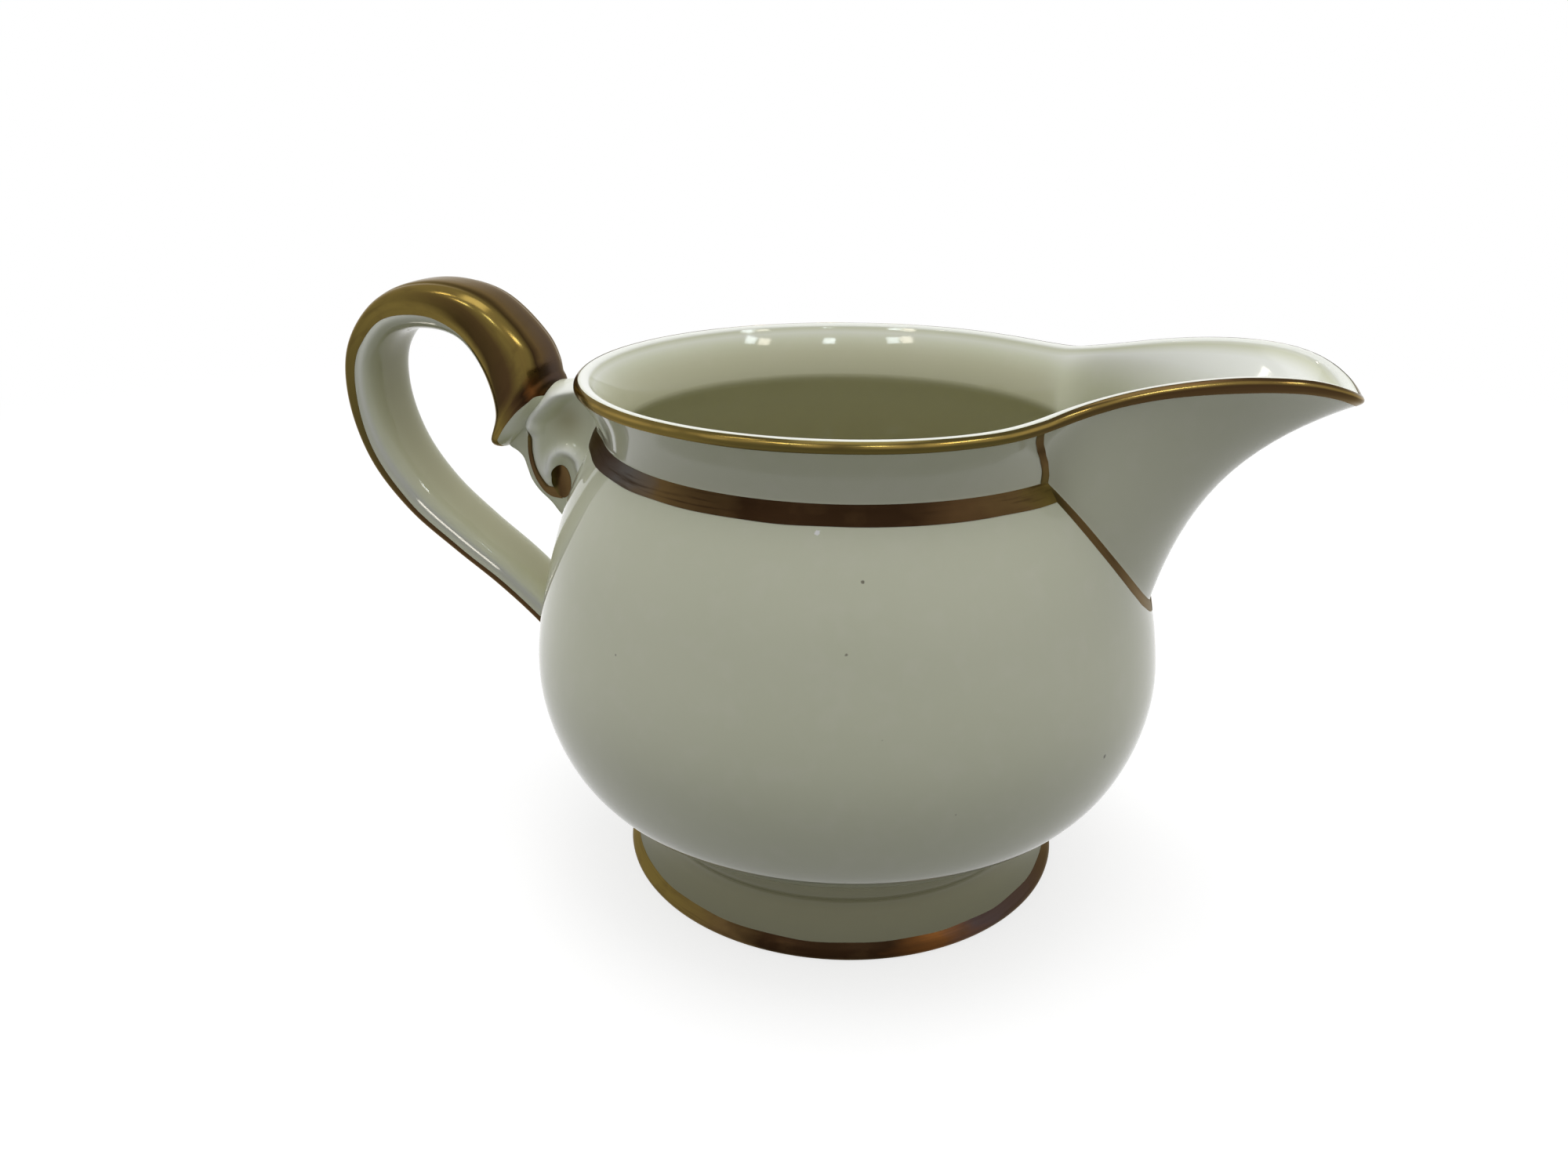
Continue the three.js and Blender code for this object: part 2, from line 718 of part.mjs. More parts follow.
// The jug's outside as one filled solid, grown by the gap that the handle's ends keep
function filledBody() {
  const loops = columns.map((c) => [...wallColumn(c, luteGap).reverse(), ...bowlColumn(c, luteGap).slice(1)]);
  const m = loops[0].length;
  const points = loops.flat();
  const faces = [];
  for (let i = 0; i < loops.length; i += 1) {
    const next = (i + 1) % loops.length;
    for (let j = 0; j + 1 < m; j += 1) {
      faces.push(i * m + j, next * m + j, next * m + j + 1, i * m + j, next * m + j + 1, i * m + j + 1);
    }
  }
  const top = points.push(v3(0, 0, rimHeight)) - 1;
  const bottom = points.push(v3(0, 0, footHeight)) - 1;
  for (let i = 0; i < loops.length; i += 1) {
    const next = (i + 1) % loops.length;
    faces.push(next * m, i * m, top);
    faces.push(i * m + m - 1, next * m + m - 1, bottom);
  }
  return toManifold(outward(geometryOf(points, faces)));
}

const bodySolid = filledBody();

function handleStrap() {
  const strap = toManifold(outward(runSolid(strapSections)));
  return pieceOf('handle_strap', fromManifold(strap.subtract(bodySolid)), porcelain());
}

// An outline in the mirror plane, drawn out to both sides
function plateSolid(shares, halfThickness) {
  const corners = shares.map(planePoint).map((p) => new THREE.Vector2(p.x, p.z));
  return raisedSolid(new THREE.Shape(corners), -halfThickness, 2 * halfThickness);
}

function indexed(geometry) {
  const copy = geometry.clone();
  copy.deleteAttribute('normal');
  copy.deleteAttribute('uv');
  return mergeVertices(copy, weldDistance);
}

const voluteCentre = v3(-handleReach * volutePlace.reachShare, 0, handleTop * volutePlace.heightShare);

// The raised ridge of the volute, open where the gold line runs in.
function voluteSolid() {
  const start = radians(voluteStartAngle);
  const end = radians(voluteEndAngle);
  const shape = new THREE.Shape();
  shape.absarc(voluteCentre.x, voluteCentre.z, voluteRadius, start, end, false);
  shape.absarc(voluteCentre.x, voluteCentre.z, voluteRadius - voluteRidgeWidth, end, start, true);
  return raisedSolid(shape, -voluteHalfThickness, 2 * voluteHalfThickness);
}

// A flat shape in the mirror plane, drawn out sideways from one place by a depth.
function raisedSolid(shape, from, depth) {
  const geometry = new THREE.ExtrudeGeometry(shape, { depth, bevelEnabled: false, curveSegments: 10 });
  geometry.rotateX(Math.PI / 2);
  geometry.translate(0, from + depth, 0);
  return toManifold(outward(indexed(geometry)));
}

// The strap's top end lies in one slanting plane, and the scroll starts a gap behind it.
function strapEndBlock() {
  const inner = planePoint(strapStationShares[0].inner);
  const outer = planePoint(strapStationShares[0].outer);
  const along = outer.clone().sub(inner).normalize();
  const away = v3(-along.z, 0, along.x);
  const size = handleReach;
  const geometry = new THREE.BoxGeometry(2 * size, size, size);
  const block = new THREE.Matrix4().makeBasis(along, v3(0, 1, 0), along.clone().cross(v3(0, 1, 0)));
  geometry.applyMatrix4(block);
  const middle = inner.clone().lerp(outer, 0.5).addScaledVector(away, size / 2 - luteGap);
  geometry.translate(middle.x, 0, middle.z);
  return toManifold(outward(indexed(geometry)));
}

function handleScroll() {
  const plate = plateSolid(scrollOutlineShares, scrollHalfThickness);
  const shoulder = plateSolid(scrollShoulderShares, scrollShoulderHalfThickness);
  const joined = plate.add(shoulder).add(voluteSolid());
  const cut = joined.subtract(strapEndBlock()).subtract(bodySolid);
  return pieceOf('handle_scroll', fromManifold(cut), porcelain());
}

// Gilding on the round wall, as patches of the outer surface

// On the bowl the rows are taken from the top down, as the bowl's are, so that both have the same facets.
function wallPatch(from, to, lowRow, highRow) {
  const base = [];
  const normals = [];
  for (let k = from; k <= to; k += 1) {
    const j = columnAt(k);
    const points = outerRows[j].slice(lowRow, highRow + 1).map((p) => p.clone());
    const lifts = outerNormals[j].slice(lowRow, highRow + 1);
    base.push(highRow <= creaseRow ? points.reverse() : points);
    normals.push(highRow <= creaseRow ? lifts.reverse() : lifts);
  }
  return { base, normals };
}

function giltPatch(name, from, to, lowRow, highRow, closed) {
  const { base, normals } = wallPatch(from, to, lowRow, highRow);
  return pieceOf(name, outward(patchShell(base, normals, closed)), gold());
}

const stripRow = creaseRow - 1;
const lineRow = creaseRow + wallRows;
const giltLipRow = lineRow + 3;

function giltFootBand() {
  const profile = footGiltProfile();
  const normalOf = (i) => {
    const above = profile[Math.max(i - 1, 0)];
    const below = profile[Math.min(i + 1, profile.length - 1)];
    return new THREE.Vector2(above[1] - below[1], below[0] - above[0]).normalize();
  };
  const normals2 = profile.map((_, i) => normalOf(i));
  const base = columns.map((c) => turned(profile, c.footAngle));
  const normals = columns.map((c) => turned(normals2.map((n) => [n.x, n.y]), c.footAngle));
  return pieceOf('gilt_foot_band', outward(patchShell(base, normals, true)), gold());
}

function giltHandleBack() {
  const count = 2 * giltHalfColumns + 1;
  const rows = [];
  const normals = [];
  for (let i = 0; i <= strapRings; i += 1) {
    const section = strapSections[i];
    const m = section.length;
    rows.push(section.slice(0, count).map((p) => p.clone()));
    const after = strapSections[Math.min(i + 1, strapRings)];
    const before = strapSections[Math.max(i - 1, 0)];
    normals.push(section.slice(0, count).map((_, j) => {
      const round = section[(j + 1) % m].clone().sub(section[(j + m - 1) % m]);
      return after[j].clone().sub(before[j]).cross(round).normalize();
    }));
  }
  const middle = rows[strapRings / 2][giltHalfColumns];
  const inward = strapSections[strapRings / 2][count + bareHalfColumns - 1].clone().sub(middle);
  if (normals[strapRings / 2][giltHalfColumns].dot(inward) > 0) normals.flat().forEach((n) => n.negate());
  const shell = toManifold(outward(patchShell(rows, normals, false)));
  return pieceOf('gilt_handle_back', fromManifold(shell.subtract(bodySolid)), gold());
}

// The gold comma on one side of the scroll: a line along its edge that swells into the volute's eye
function giltScroll(name, side) {
  const spine = planeCurve(commaShares);
  const steps = 10;
  const left = [];
  const right = [];
  for (let i = 0; i <= steps; i += 1) {
    const p = spine.getPoint(i / steps);
    const tangent = spine.getTangent(i / steps);
    const half = (scrollLineWidth / 2) * lerp(0.6, 1.4, i / steps);
    left.push(new THREE.Vector2(p.x - tangent.z * half, p.z + tangent.x * half));
    right.push(new THREE.Vector2(p.x + tangent.z * half, p.z - tangent.x * half));
  }
  const line = new THREE.Shape([...left, ...right.reverse()]);
  const eye = new THREE.Shape();
  eye.absellipse(voluteCentre.x, voluteCentre.z, scrollEyeWidth / 2, scrollEyeLength / 2, 0, Math.PI * 2);
  const from = side > 0 ? scrollHalfThickness : -scrollHalfThickness - giltThickness;
  const comma = raisedSolid(line, from, giltThickness).add(raisedSolid(eye, from, giltThickness));
  return pieceOf(name, fromManifold(comma.subtract(voluteSolid()).subtract(bodySolid)), gold());
}

// The whole jug, set so that its box is centred on the axis of its stand

const jug = new THREE.Group();
jug.add(bowl());
jug.add(footRing());
jug.add(neckCollar());
jug.add(spout());
jug.add(handleStrap());
jug.add(handleScroll());
jug.add(giltPatch('gilt_rim', 0, columns.length - 1, lineRow, giltLipRow, true));
jug.add(giltPatch('gilt_neck_band', spoutColumns, columns.length - spoutColumns, stripRow, creaseRow, false));
jug.add(giltPatch('gilt_upright_far', spoutColumns, spoutColumns + 1, creaseRow, lineRow, false));
jug.add(giltPatch('gilt_upright_near', -spoutColumns - 1, -spoutColumns, creaseRow, lineRow, false));
jug.add(giltPatch('gilt_vee_far', 0, spoutColumns, stripRow, creaseRow, false));
jug.add(giltPatch('gilt_vee_near', -spoutColumns, 0, stripRow, creaseRow, false));
jug.add(giltFootBand());
jug.add(giltHandleBack());
jug.add(giltScroll('gilt_scroll_far', 1));
jug.add(giltScroll('gilt_scroll_near', -1));

const box = new THREE.Box3().setFromObject(jug);
jug.position.x = -(box.min.x + box.max.x) / 2;
jug.updateMatrixWorld(true);

export default jug;
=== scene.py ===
# %% [markdown]
# # A small porcelain cream jug with gilt lines
#
# The real jug is one piece of thin, ivory porcelain under a clear, very glossy glaze. It was cast in parts that
# were stuck together with slip, fired, glazed, fired again, and painted by hand with gold. This lesson dresses
# the finished engineering model of the jug: it makes a fine, smooth surface for each part, lays the gold on it
# as thin skins, and lights it in a plain white studio.
#
# The frame comes first. Its pieces have the true sizes, so measures are read from it where they can be.

import bisect
import functools
import json
import math
import random

import bpy
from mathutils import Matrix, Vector
from mathutils.kdtree import KDTree

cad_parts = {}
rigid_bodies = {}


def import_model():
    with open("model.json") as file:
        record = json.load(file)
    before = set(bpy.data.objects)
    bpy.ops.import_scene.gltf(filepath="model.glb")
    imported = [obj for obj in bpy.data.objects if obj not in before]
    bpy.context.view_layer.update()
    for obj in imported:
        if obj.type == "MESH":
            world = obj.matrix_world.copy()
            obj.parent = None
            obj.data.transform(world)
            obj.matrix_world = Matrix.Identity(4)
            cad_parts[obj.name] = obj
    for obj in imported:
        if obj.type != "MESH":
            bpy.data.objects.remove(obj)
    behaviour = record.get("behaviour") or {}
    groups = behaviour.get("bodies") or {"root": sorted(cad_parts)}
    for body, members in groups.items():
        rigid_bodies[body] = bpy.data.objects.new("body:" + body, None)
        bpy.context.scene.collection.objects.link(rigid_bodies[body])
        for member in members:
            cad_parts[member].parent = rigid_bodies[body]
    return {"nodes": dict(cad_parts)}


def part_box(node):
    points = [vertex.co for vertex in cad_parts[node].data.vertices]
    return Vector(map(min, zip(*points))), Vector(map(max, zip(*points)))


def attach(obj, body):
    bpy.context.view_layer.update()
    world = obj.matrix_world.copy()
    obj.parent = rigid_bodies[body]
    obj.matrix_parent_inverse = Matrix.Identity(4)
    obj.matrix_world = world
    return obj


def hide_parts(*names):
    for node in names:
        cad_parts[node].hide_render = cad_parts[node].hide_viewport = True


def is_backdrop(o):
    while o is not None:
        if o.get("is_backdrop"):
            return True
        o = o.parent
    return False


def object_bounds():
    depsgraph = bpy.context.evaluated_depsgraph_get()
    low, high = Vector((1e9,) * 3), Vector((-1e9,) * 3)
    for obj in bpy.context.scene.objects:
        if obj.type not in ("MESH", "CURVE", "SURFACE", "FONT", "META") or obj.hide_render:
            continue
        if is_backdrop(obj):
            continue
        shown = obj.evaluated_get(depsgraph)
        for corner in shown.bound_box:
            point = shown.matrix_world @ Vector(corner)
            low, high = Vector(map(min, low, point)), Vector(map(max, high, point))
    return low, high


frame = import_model()
cad_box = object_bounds()


def rounded(point):
    """A point, short enough to read."""
    return tuple(round(value, 4) for value in point)


print("frame:", len(frame["nodes"]), "nodes, box", *map(rounded, cad_box))

# %% [markdown]
# ## The camera
#
# The photograph was taken with a wide lens from close by, a little above the rim, with the spout to the right.
# A camera could be placed by eye, but a jug is full of ellipses that show a wrong lens at once. So the place,
# the tilt and the lens were worked out from the ellipses of the rim, the bowl and the foot, and are written here
# as plain measures.

# %% Camera
mm = 0.001

camera_place = Vector((46.29, -156.83, 108.09)) * mm
camera_pitch = 67.467
camera_turn = 17.167
lens_length = 27.19

camera_data = bpy.data.cameras.new("camera")
camera_data.lens = lens_length
camera_data.sensor_width = 36.0
camera_data.clip_start = 5 * mm
camera = bpy.data.objects.new("camera", camera_data)
camera.location = camera_place
camera.rotation_euler = (math.radians(camera_pitch), 0, math.radians(camera_turn))
bpy.context.scene.collection.objects.link(camera)
bpy.context.scene.camera = camera
print("camera:", rounded(camera.location))

# %% [markdown]
# ## Measures
#
# The bowl's own box gives the jug's upright axis and its heights. Thicknesses and the sizes of small things are
# written once, in millimetres, and outlines are written as shares of the sizes that they follow.

# %% Measures of the jug
bowl_low, bowl_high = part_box("bowl")
axis_x = (bowl_low.x + bowl_high.x) / 2
bowl_radius = 45 * mm
underside_height = bowl_low.z
crease_height = bowl_high.z
bowl_wall = 2.3 * mm
bowl_floor = 3.2 * mm
neck_height = 8.2 * mm
rim_flare = 2.44 * mm
lip_half_thickness = 1.1 * mm
lip_outer_drop = 1.1 * mm
lip_inner_drop = 0.6 * mm
spout_overhang = 27.2 * mm
spout_rise = 4.85 * mm
vee_depth = 20.6 * mm
vee_half_angle = 31
upright_top_angle = 36.6

# Height up the bowl, and radius, as shares of the bowl's.
profile_shares = [
    (0.0, 0.642), (0.037, 0.773), (0.125, 0.9), (0.245, 0.971), (0.377, 1.0), (0.511, 0.984),
    (0.641, 0.947), (0.771, 0.902), (0.898, 0.838), (0.961, 0.791), (1.0, 0.7524),
]
# Half of the lip, from the tip back: shares of the spout's reach, of the rim's radius and of the spout's rise.
lip_shares = [
    (1.0, 0.0, 0.27), (0.991, 0.13, 0.43), (0.958, 0.22, 0.72), (0.909, 0.275, 0.92),
    (0.85, 0.315, 1.0), (0.772, 0.35, 0.99), (0.677, 0.394, 0.856), (0.598, 0.433, 0.66),
    (0.535, 0.482, 0.454), (0.488, 0.543, 0.289), (0.441, 0.631, 0.124), (0.378, 0.747, 0.03),
]
# How the wall leaves the shoulder and reaches the lip, at the round neck and at the spout's tip.
neck_flare_shares = (0.372, 0.161, 0.396, 1.377)
tip_flare_shares = (0.548, 0.195, 0.548, 0.44)

bowl_height = crease_height - underside_height
rim_height = crease_height + neck_height
crease_radius = bowl_radius * profile_shares[-1][1]
rim_radius = crease_radius + rim_flare
spout_reach = rim_radius + spout_overhang
vee_apex_height = crease_height - vee_depth
floor_height = underside_height + bowl_floor
print("axis at x", round(axis_x, 5), "rim radius", round(rim_radius, 5), "rim height", round(rim_height, 5))

# %% [markdown]
# ## Smooth lines
#
# The outlines of the bowl, the lip and the handle are free curves. Each is a smooth line through a few points,
# so a short class answers the two questions that modelling asks of it: where is the line at a share of its
# stations, and where is it at a share of its length. The five small functions before it are used all over the
# lesson: to mix two values, to start and stop softly, to fade over a width, to read a list between its values,
# and to find the place where something changes by halving the way to it.


# %% Shares and places
def lerp(a, b, share):
    """The value at a share of the way from a to b."""
    return a + (b - a) * share


def ease(share):
    """0 below 0, 1 above 1, and a soft slope between."""
    share = min(max(share, 0.0), 1.0)
    return share * share * (3 - 2 * share)


def bell(distance, width):
    """1 at no distance, and fading softly over a width."""
    return math.exp(-(distance / width) ** 2)


def among(values, share, soften=float):
    """The value at a share of the way along a list of evenly spaced ones."""
    place = min(max(share, 0.0), 1.0) * (len(values) - 1)
    k = min(int(place), len(values) - 2)
    return lerp(values[k], values[k + 1], soften(place - k))


def halve(low, high, goes_on, rounds=24):
    """Closes in from both sides on the place up to which goes_on holds."""
    for _ in range(rounds):
        middle = (low + high) / 2
        if goes_on(middle):
            low = middle
        else:
            high = middle
    return low, high


# %% Smooth lines through a few points
class SmoothLine:
    """A smooth line through given points."""

    def __init__(self, points, samples=600):
        self.points = [Vector(p) for p in points]
        spots = [self.spot(i / samples) for i in range(samples + 1)]
        self.marks = [0.0]
        for before, after in zip(spots, spots[1:]):
            self.marks.append(self.marks[-1] + (after - before).length)
        self.length = self.marks[-1]

    def spot(self, share):
        """The point at a share of the way, counted in stations."""
        last = len(self.points) - 1
        way = min(max(share, 0.0), 1.0) * last
        k = min(int(way), last - 1)
        t = way - k
        b, c = self.points[k], self.points[k + 1]
        a = self.points[k - 1] if k > 0 else 2 * b - c
        d = self.points[k + 2] if k + 2 <= last else 2 * c - b
        da, db, dc = (b - a).length ** 0.5, (c - b).length ** 0.5, (d - c).length ** 0.5
        leave = ((b - a) / da - (c - a) / (da + db) + (c - b) / db) * db
        arrive = ((c - b) / db - (d - b) / (db + dc) + (d - c) / dc) * db
        bend = 3 * (c - b) - 2 * leave - arrive
        twist = 2 * (b - c) + leave + arrive
        return b + leave * t + bend * t * t + twist * t * t * t

    def at(self, share):
        """The point at a share of the length."""
        target = min(max(share, 0.0), 1.0) * self.length
        k = min(max(bisect.bisect_left(self.marks, target), 1), len(self.marks) - 1)
        step = (target - self.marks[k - 1]) / (self.marks[k] - self.marks[k - 1])
        return self.spot((k - 1 + step) / (len(self.marks) - 1))

    def heading(self, share, reach=0.002):
        """The direction of the line at a share of the length."""
        return (self.at(share + reach) - self.at(share - reach)).normalized()


def plane_line(spots, unit=1):
    """A smooth line through spots of the mirror plane, each with its x and z."""
    return SmoothLine([(x * unit, 0, z * unit) for x, z in spots])


bowl_profile = plane_line([
    (bowl_radius * wide, underside_height + bowl_height * high) for high, wide in profile_shares
])
profile_steps = 2400
profile_spots = [bowl_profile.spot(i / profile_steps) for i in range(profile_steps + 1)]
profile_heights = [spot.z for spot in profile_spots]


def bowl_radius_at(height):
    """The radius of the bowl's outside at a height."""
    k = min(max(bisect.bisect_left(profile_heights, height), 1), len(profile_heights) - 1)
    below, above = profile_spots[k - 1], profile_spots[k]
    share = (height - below.z) / (above.z - below.z)
    return lerp(below.x, above.x, min(max(share, 0.0), 1.0))


print("bowl outline:", round(bowl_profile.length, 4), "m long")

# %% [markdown]
# ## The lip line
#
# Seen from above, the rim is a circle that is drawn out at the front into a long beak, and seen from the side
# it rises along the beak and dips again at the tip. One smooth line through a dozen points on each side holds
# all of it. Everything on the wall of the neck then hangs from this line.

# %% Lip line
lip_join_angle = 62
lip_past_angle = 76


def rim_point(angle):
    """A point of the round part of the rim."""
    turn = math.radians(angle)
    return Vector((rim_radius * math.cos(turn), rim_radius * math.sin(turn), rim_height))


def lip_point(shares, side):
    """A point of the beak on one side, from its shares."""
    along, across, rise = shares
    return Vector((spout_reach * along, side * rim_radius * across, rim_height + spout_rise * rise))


lip_line = SmoothLine(
    [rim_point(-lip_past_angle), rim_point(-lip_join_angle)]
    + [lip_point(shares, -1) for shares in reversed(lip_shares[1:])]
    + [lip_point(shares, 1) for shares in lip_shares]
    + [rim_point(lip_join_angle), rim_point(lip_past_angle)]
)


def angle_of(point):
    """The angle round the jug's axis at which a point lies."""
    return math.degrees(math.atan2(point.y, point.x))


def lip_share_at(angle):
    """The share of the lip line, past the tip, that lies at an angle round the jug."""
    return sum(halve(0.5, 1.0, lambda share: angle_of(lip_line.at(share)) < angle, 40)) / 2


upright_share = lip_share_at(upright_top_angle)
print("lip line:", round(lip_line.length, 4), "m long, the upright gold line at", round(upright_share, 4))

# %% [markdown]
# ## The wall as a formula
#
# The round bowl could be spun from a profile, but the spout leaves the bowl in a long V and its wall is
# different at every angle. So the wall is written as a formula: for any angle round the jug, a point goes from
# the shoulder crease, or from the V in front, up a curve to the lip. The real wall was pressed in a mould of
# just this kind, where every upright section flows into the next.


# %% Lip over each angle of the wall
tip_crowding = 1.2


def lip_spot(along):
    """The lip's point and outward direction at a share of the lip line."""
    heading = lip_line.heading(along)
    return lip_line.at(along), Vector((heading.y, -heading.x, 0)).normalized()


@functools.lru_cache(maxsize=None)
def lip_frame(angle):
    """The lip's point and direction over an angle of the wall's foot, and how much of a spout it is."""
    turned = abs(angle)
    spout = 0.0
    if turned <= vee_half_angle:
        share = turned / vee_half_angle
        point, out = lip_spot(lerp(0.5, upright_share, share ** tip_crowding))
        spout = ease(1 - share)
    else:
        top_angle = lerp(upright_top_angle, 180, (turned - vee_half_angle) / (180 - vee_half_angle))
        if top_angle < lip_join_angle:
            point, out = lip_spot(lip_share_at(top_angle))
        else:
            point = rim_point(top_angle)
            out = Vector((point.x, point.y, 0)).normalized()
    if angle < 0:
        point = Vector((point.x, -point.y, point.z))
        out = Vector((out.x, -out.y, 0))
    return point, out, spout


# %% Swell at the handle and V under the spout
swell_size = 1.4 * mm
swell_start, swell_end = 150, 166
swell_depth = 5 * mm
vee_straightness = 0.25
vee_power = 1.6


def handle_swell(angle, height):
    """How far the shoulder stands out beside the handle, where the joint's slip fills the corner."""
    round_share = ease((abs(angle) - swell_start) / (swell_end - swell_start))
    return swell_size * round_share * ease(1 - (crease_height - height) / swell_depth) ** 1.5


def vee_height(angle):
    """The height of the edge where the bowl ends: the crease all round, and the V under the spout."""
    share = min(1.0, abs(angle) / vee_half_angle)
    curve = vee_straightness * share + (1 - vee_straightness) * share ** vee_power
    return lerp(vee_apex_height, crease_height, curve)


print("the V rises from", round(vee_height(0), 4), "to", round(vee_height(vee_half_angle), 4))


# %% Points of the neck, the spout and the lip
def radial(angle):
    """The direction away from the jug's axis at an angle round it."""
    return Vector((math.cos(math.radians(angle)), math.sin(math.radians(angle)), 0))


def ring_point(angle, size):
    """A point at an angle round the jug's axis, by its radius and height."""
    radius, height = size
    point = radial(angle) * radius
    point.z = height
    return point


def wall_point(angle, share, inside=False):
    """A point of the neck's or spout's wall, at a share of the way from its foot up to the lip."""
    lip, out, spout = lip_frame(angle)
    outward = radial(angle)
    start = vee_height(angle)
    thicker = -bowl_wall if inside else handle_swell(angle, start)
    foot = ring_point(angle, (bowl_radius_at(start) + thicker, start))
    top = lip + out * (-lip_half_thickness if inside else lip_half_thickness)
    top.z -= lip_inner_drop if inside else lip_outer_drop
    height = top.z - foot.z
    reach = math.hypot(top.x - foot.x, top.y - foot.y)
    leave, lean, arrive, slope = (lerp(a, b, spout) for a, b in zip(neck_flare_shares, tip_flare_shares))
    low = foot + outward * (leave * height * lean) + Vector((0, 0, leave * height))
    high = top - out * (arrive * reach) - Vector((0, 0, arrive * reach * slope))
    t, u = share, 1 - share
    return foot * u ** 3 + low * (3 * t * u * u) + high * (3 * t * t * u) + top * t ** 3


def crest_point(angle, turn):
    """A point round the lip's rounded crest: turn 0 is outside, 90 on top and 180 inside."""
    lip, out, _ = lip_frame(angle)
    drop = lip_outer_drop if turn <= 90 else lip_inner_drop
    lean = math.radians(turn)
    point = lip + out * (lip_half_thickness * math.cos(lean))
    point.z -= drop * (1 - math.sin(lean))
    return point


print("spout tip:", rounded(crest_point(0, 90)))


# %% Points of the bowl
def skin_point(angle, height):
    """A point of the bowl's outside, at a height."""
    return ring_point(angle, (bowl_radius_at(height) + handle_swell(angle, height), height))


def bowl_point(angle, share):
    """A point of the bowl's outside, at a share of the way from its underside up to the crease or the V."""
    return skin_point(angle, lerp(underside_height, vee_height(angle), share))


def bowl_inside_point(angle, share):
    """A point of the bowl's inside, one wall in from the outside."""
    height = lerp(underside_height + bowl_wall / 2, vee_height(angle), share)
    step = bowl_wall / 4
    rise = bowl_radius_at(height + step) - bowl_radius_at(height - step)
    slant = math.hypot(rise, 2 * step)
    turn = ease((1 - share) * 3)
    inward = lerp(1, 2 * step / slant, turn)
    lifted = max(height + bowl_wall * rise / slant * turn, floor_height)
    return ring_point(angle, (bowl_radius_at(height) - bowl_wall * inward, lifted))


print("bowl inside at the crease:", rounded(bowl_inside_point(180, 1)))

# %% [markdown]
# ## Helpers for the hands
#
# The three pieces of porcelain are made in one way: a circle is added, and in edit mode it is extruded ring by
# ring into a tower. Each point of the tower is then set to its place. A spin would only make round things, and
# this way also makes the strap and the scroll. A painted line is a flat grid, laid on the wall point by point.


# %% One piece at a time
def only(piece):
    """Makes one piece active and selected, and nothing else."""
    if bpy.context.mode != "OBJECT":
        bpy.ops.object.mode_set(mode="OBJECT")
    bpy.ops.object.select_all(action="DESELECT")
    piece.select_set(True)
    bpy.context.view_layer.objects.active = piece
    return piece


def named(name):
    """The piece that was just added, under its own name."""
    piece = bpy.context.view_layer.objects.active
    piece.name = name
    piece.data.name = name
    return piece


def settle(piece):
    """Puts the object's own place, turn and scale into its mesh."""
    only(piece)
    bpy.ops.object.transform_apply(location=True, rotation=True, scale=True)
    return piece


def on_whole_mesh(piece, operator, **settings):
    """Runs one operator of edit mode on all of a piece's mesh."""
    only(piece)
    bpy.ops.object.mode_set(mode="EDIT")
    bpy.ops.mesh.select_all(action="SELECT")
    operator(**settings)
    bpy.ops.object.mode_set(mode="OBJECT")


def face_outwards(piece):
    """Turns all faces outwards."""
    on_whole_mesh(piece, bpy.ops.mesh.normals_make_consistent, inside=False)


# %% Towers and sheets
def tower(name, rings, glaze_and_shading):
    """A piece made by extruding a circle ring by ring, from rings of points in the jug's own frame.

    The third argument gives how thinly the glaze lies at each ring and column, together with painted light and
    shade, and the piece keeps it for its material.
    """
    count = len(rings[0])
    bpy.ops.object.select_all(action="DESELECT")
    bpy.ops.mesh.primitive_circle_add(vertices=count, radius=10 * mm)
    piece = named(name)
    bpy.ops.object.mode_set(mode="EDIT")
    bpy.ops.mesh.select_all(action="SELECT")
    bpy.ops.mesh.edge_face_add()
    for _ in rings[1:]:
        bpy.ops.mesh.extrude_region_move(TRANSFORM_OT_translate={"value": (0, 0, mm)})
    bpy.ops.object.mode_set(mode="OBJECT")
    thin = piece.data.attributes.new("thin", "FLOAT", "POINT")
    for vertex in piece.data.vertices:
        level = round(vertex.co.z / mm)
        turn = math.degrees(math.atan2(vertex.co.y, vertex.co.x)) - 90
        column = round(turn / 360 * count) % count
        vertex.co = rings[level][column] + Vector((axis_x, 0, 0))
        thin.data[vertex.index].value = glaze_and_shading(level, column)
    face_outwards(piece)
    return piece


def sheet_on(name, along, across, place, closed=False):
    """A flat grid whose point at a share along and a share across is moved to its place on the jug."""
    bpy.ops.object.select_all(action="DESELECT")
    bpy.ops.mesh.primitive_grid_add(x_subdivisions=along, y_subdivisions=across, size=1)
    piece = named(name)
    for vertex in piece.data.vertices:
        vertex.co = place(vertex.co.x + 0.5, vertex.co.y + 0.5) + Vector((axis_x, 0, 0))
    if closed:
        on_whole_mesh(piece, bpy.ops.mesh.remove_doubles, threshold=0.001 * mm)
    return piece


# %% Modifiers and reports
def modify(piece, kind, **settings):
    """Adds a modifier, sets it and applies it."""
    only(piece)
    modifier = piece.modifiers.new(kind.lower(), kind)
    for key, value in settings.items():
        setattr(modifier, key, value)
    bpy.ops.object.modifier_apply(modifier=modifier.name)


def report(piece):
    """Prints the piece's name, its number of faces and its box in millimetres."""
    places = [vertex.co for vertex in piece.data.vertices]
    corners = [[round(pick(place[i] for place in places) / mm, 1) for i in range(3)] for pick in (min, max)]
    print(piece.name, len(piece.data.polygons), "faces, mm", *corners)


def refine(piece):
    """Rounds the piece off with one level of subdivision and smooth shading."""
    modify(piece, "SUBSURF", levels=1, render_levels=1, use_limit_surface=False)
    only(piece)
    bpy.ops.object.shade_smooth()
    report(piece)
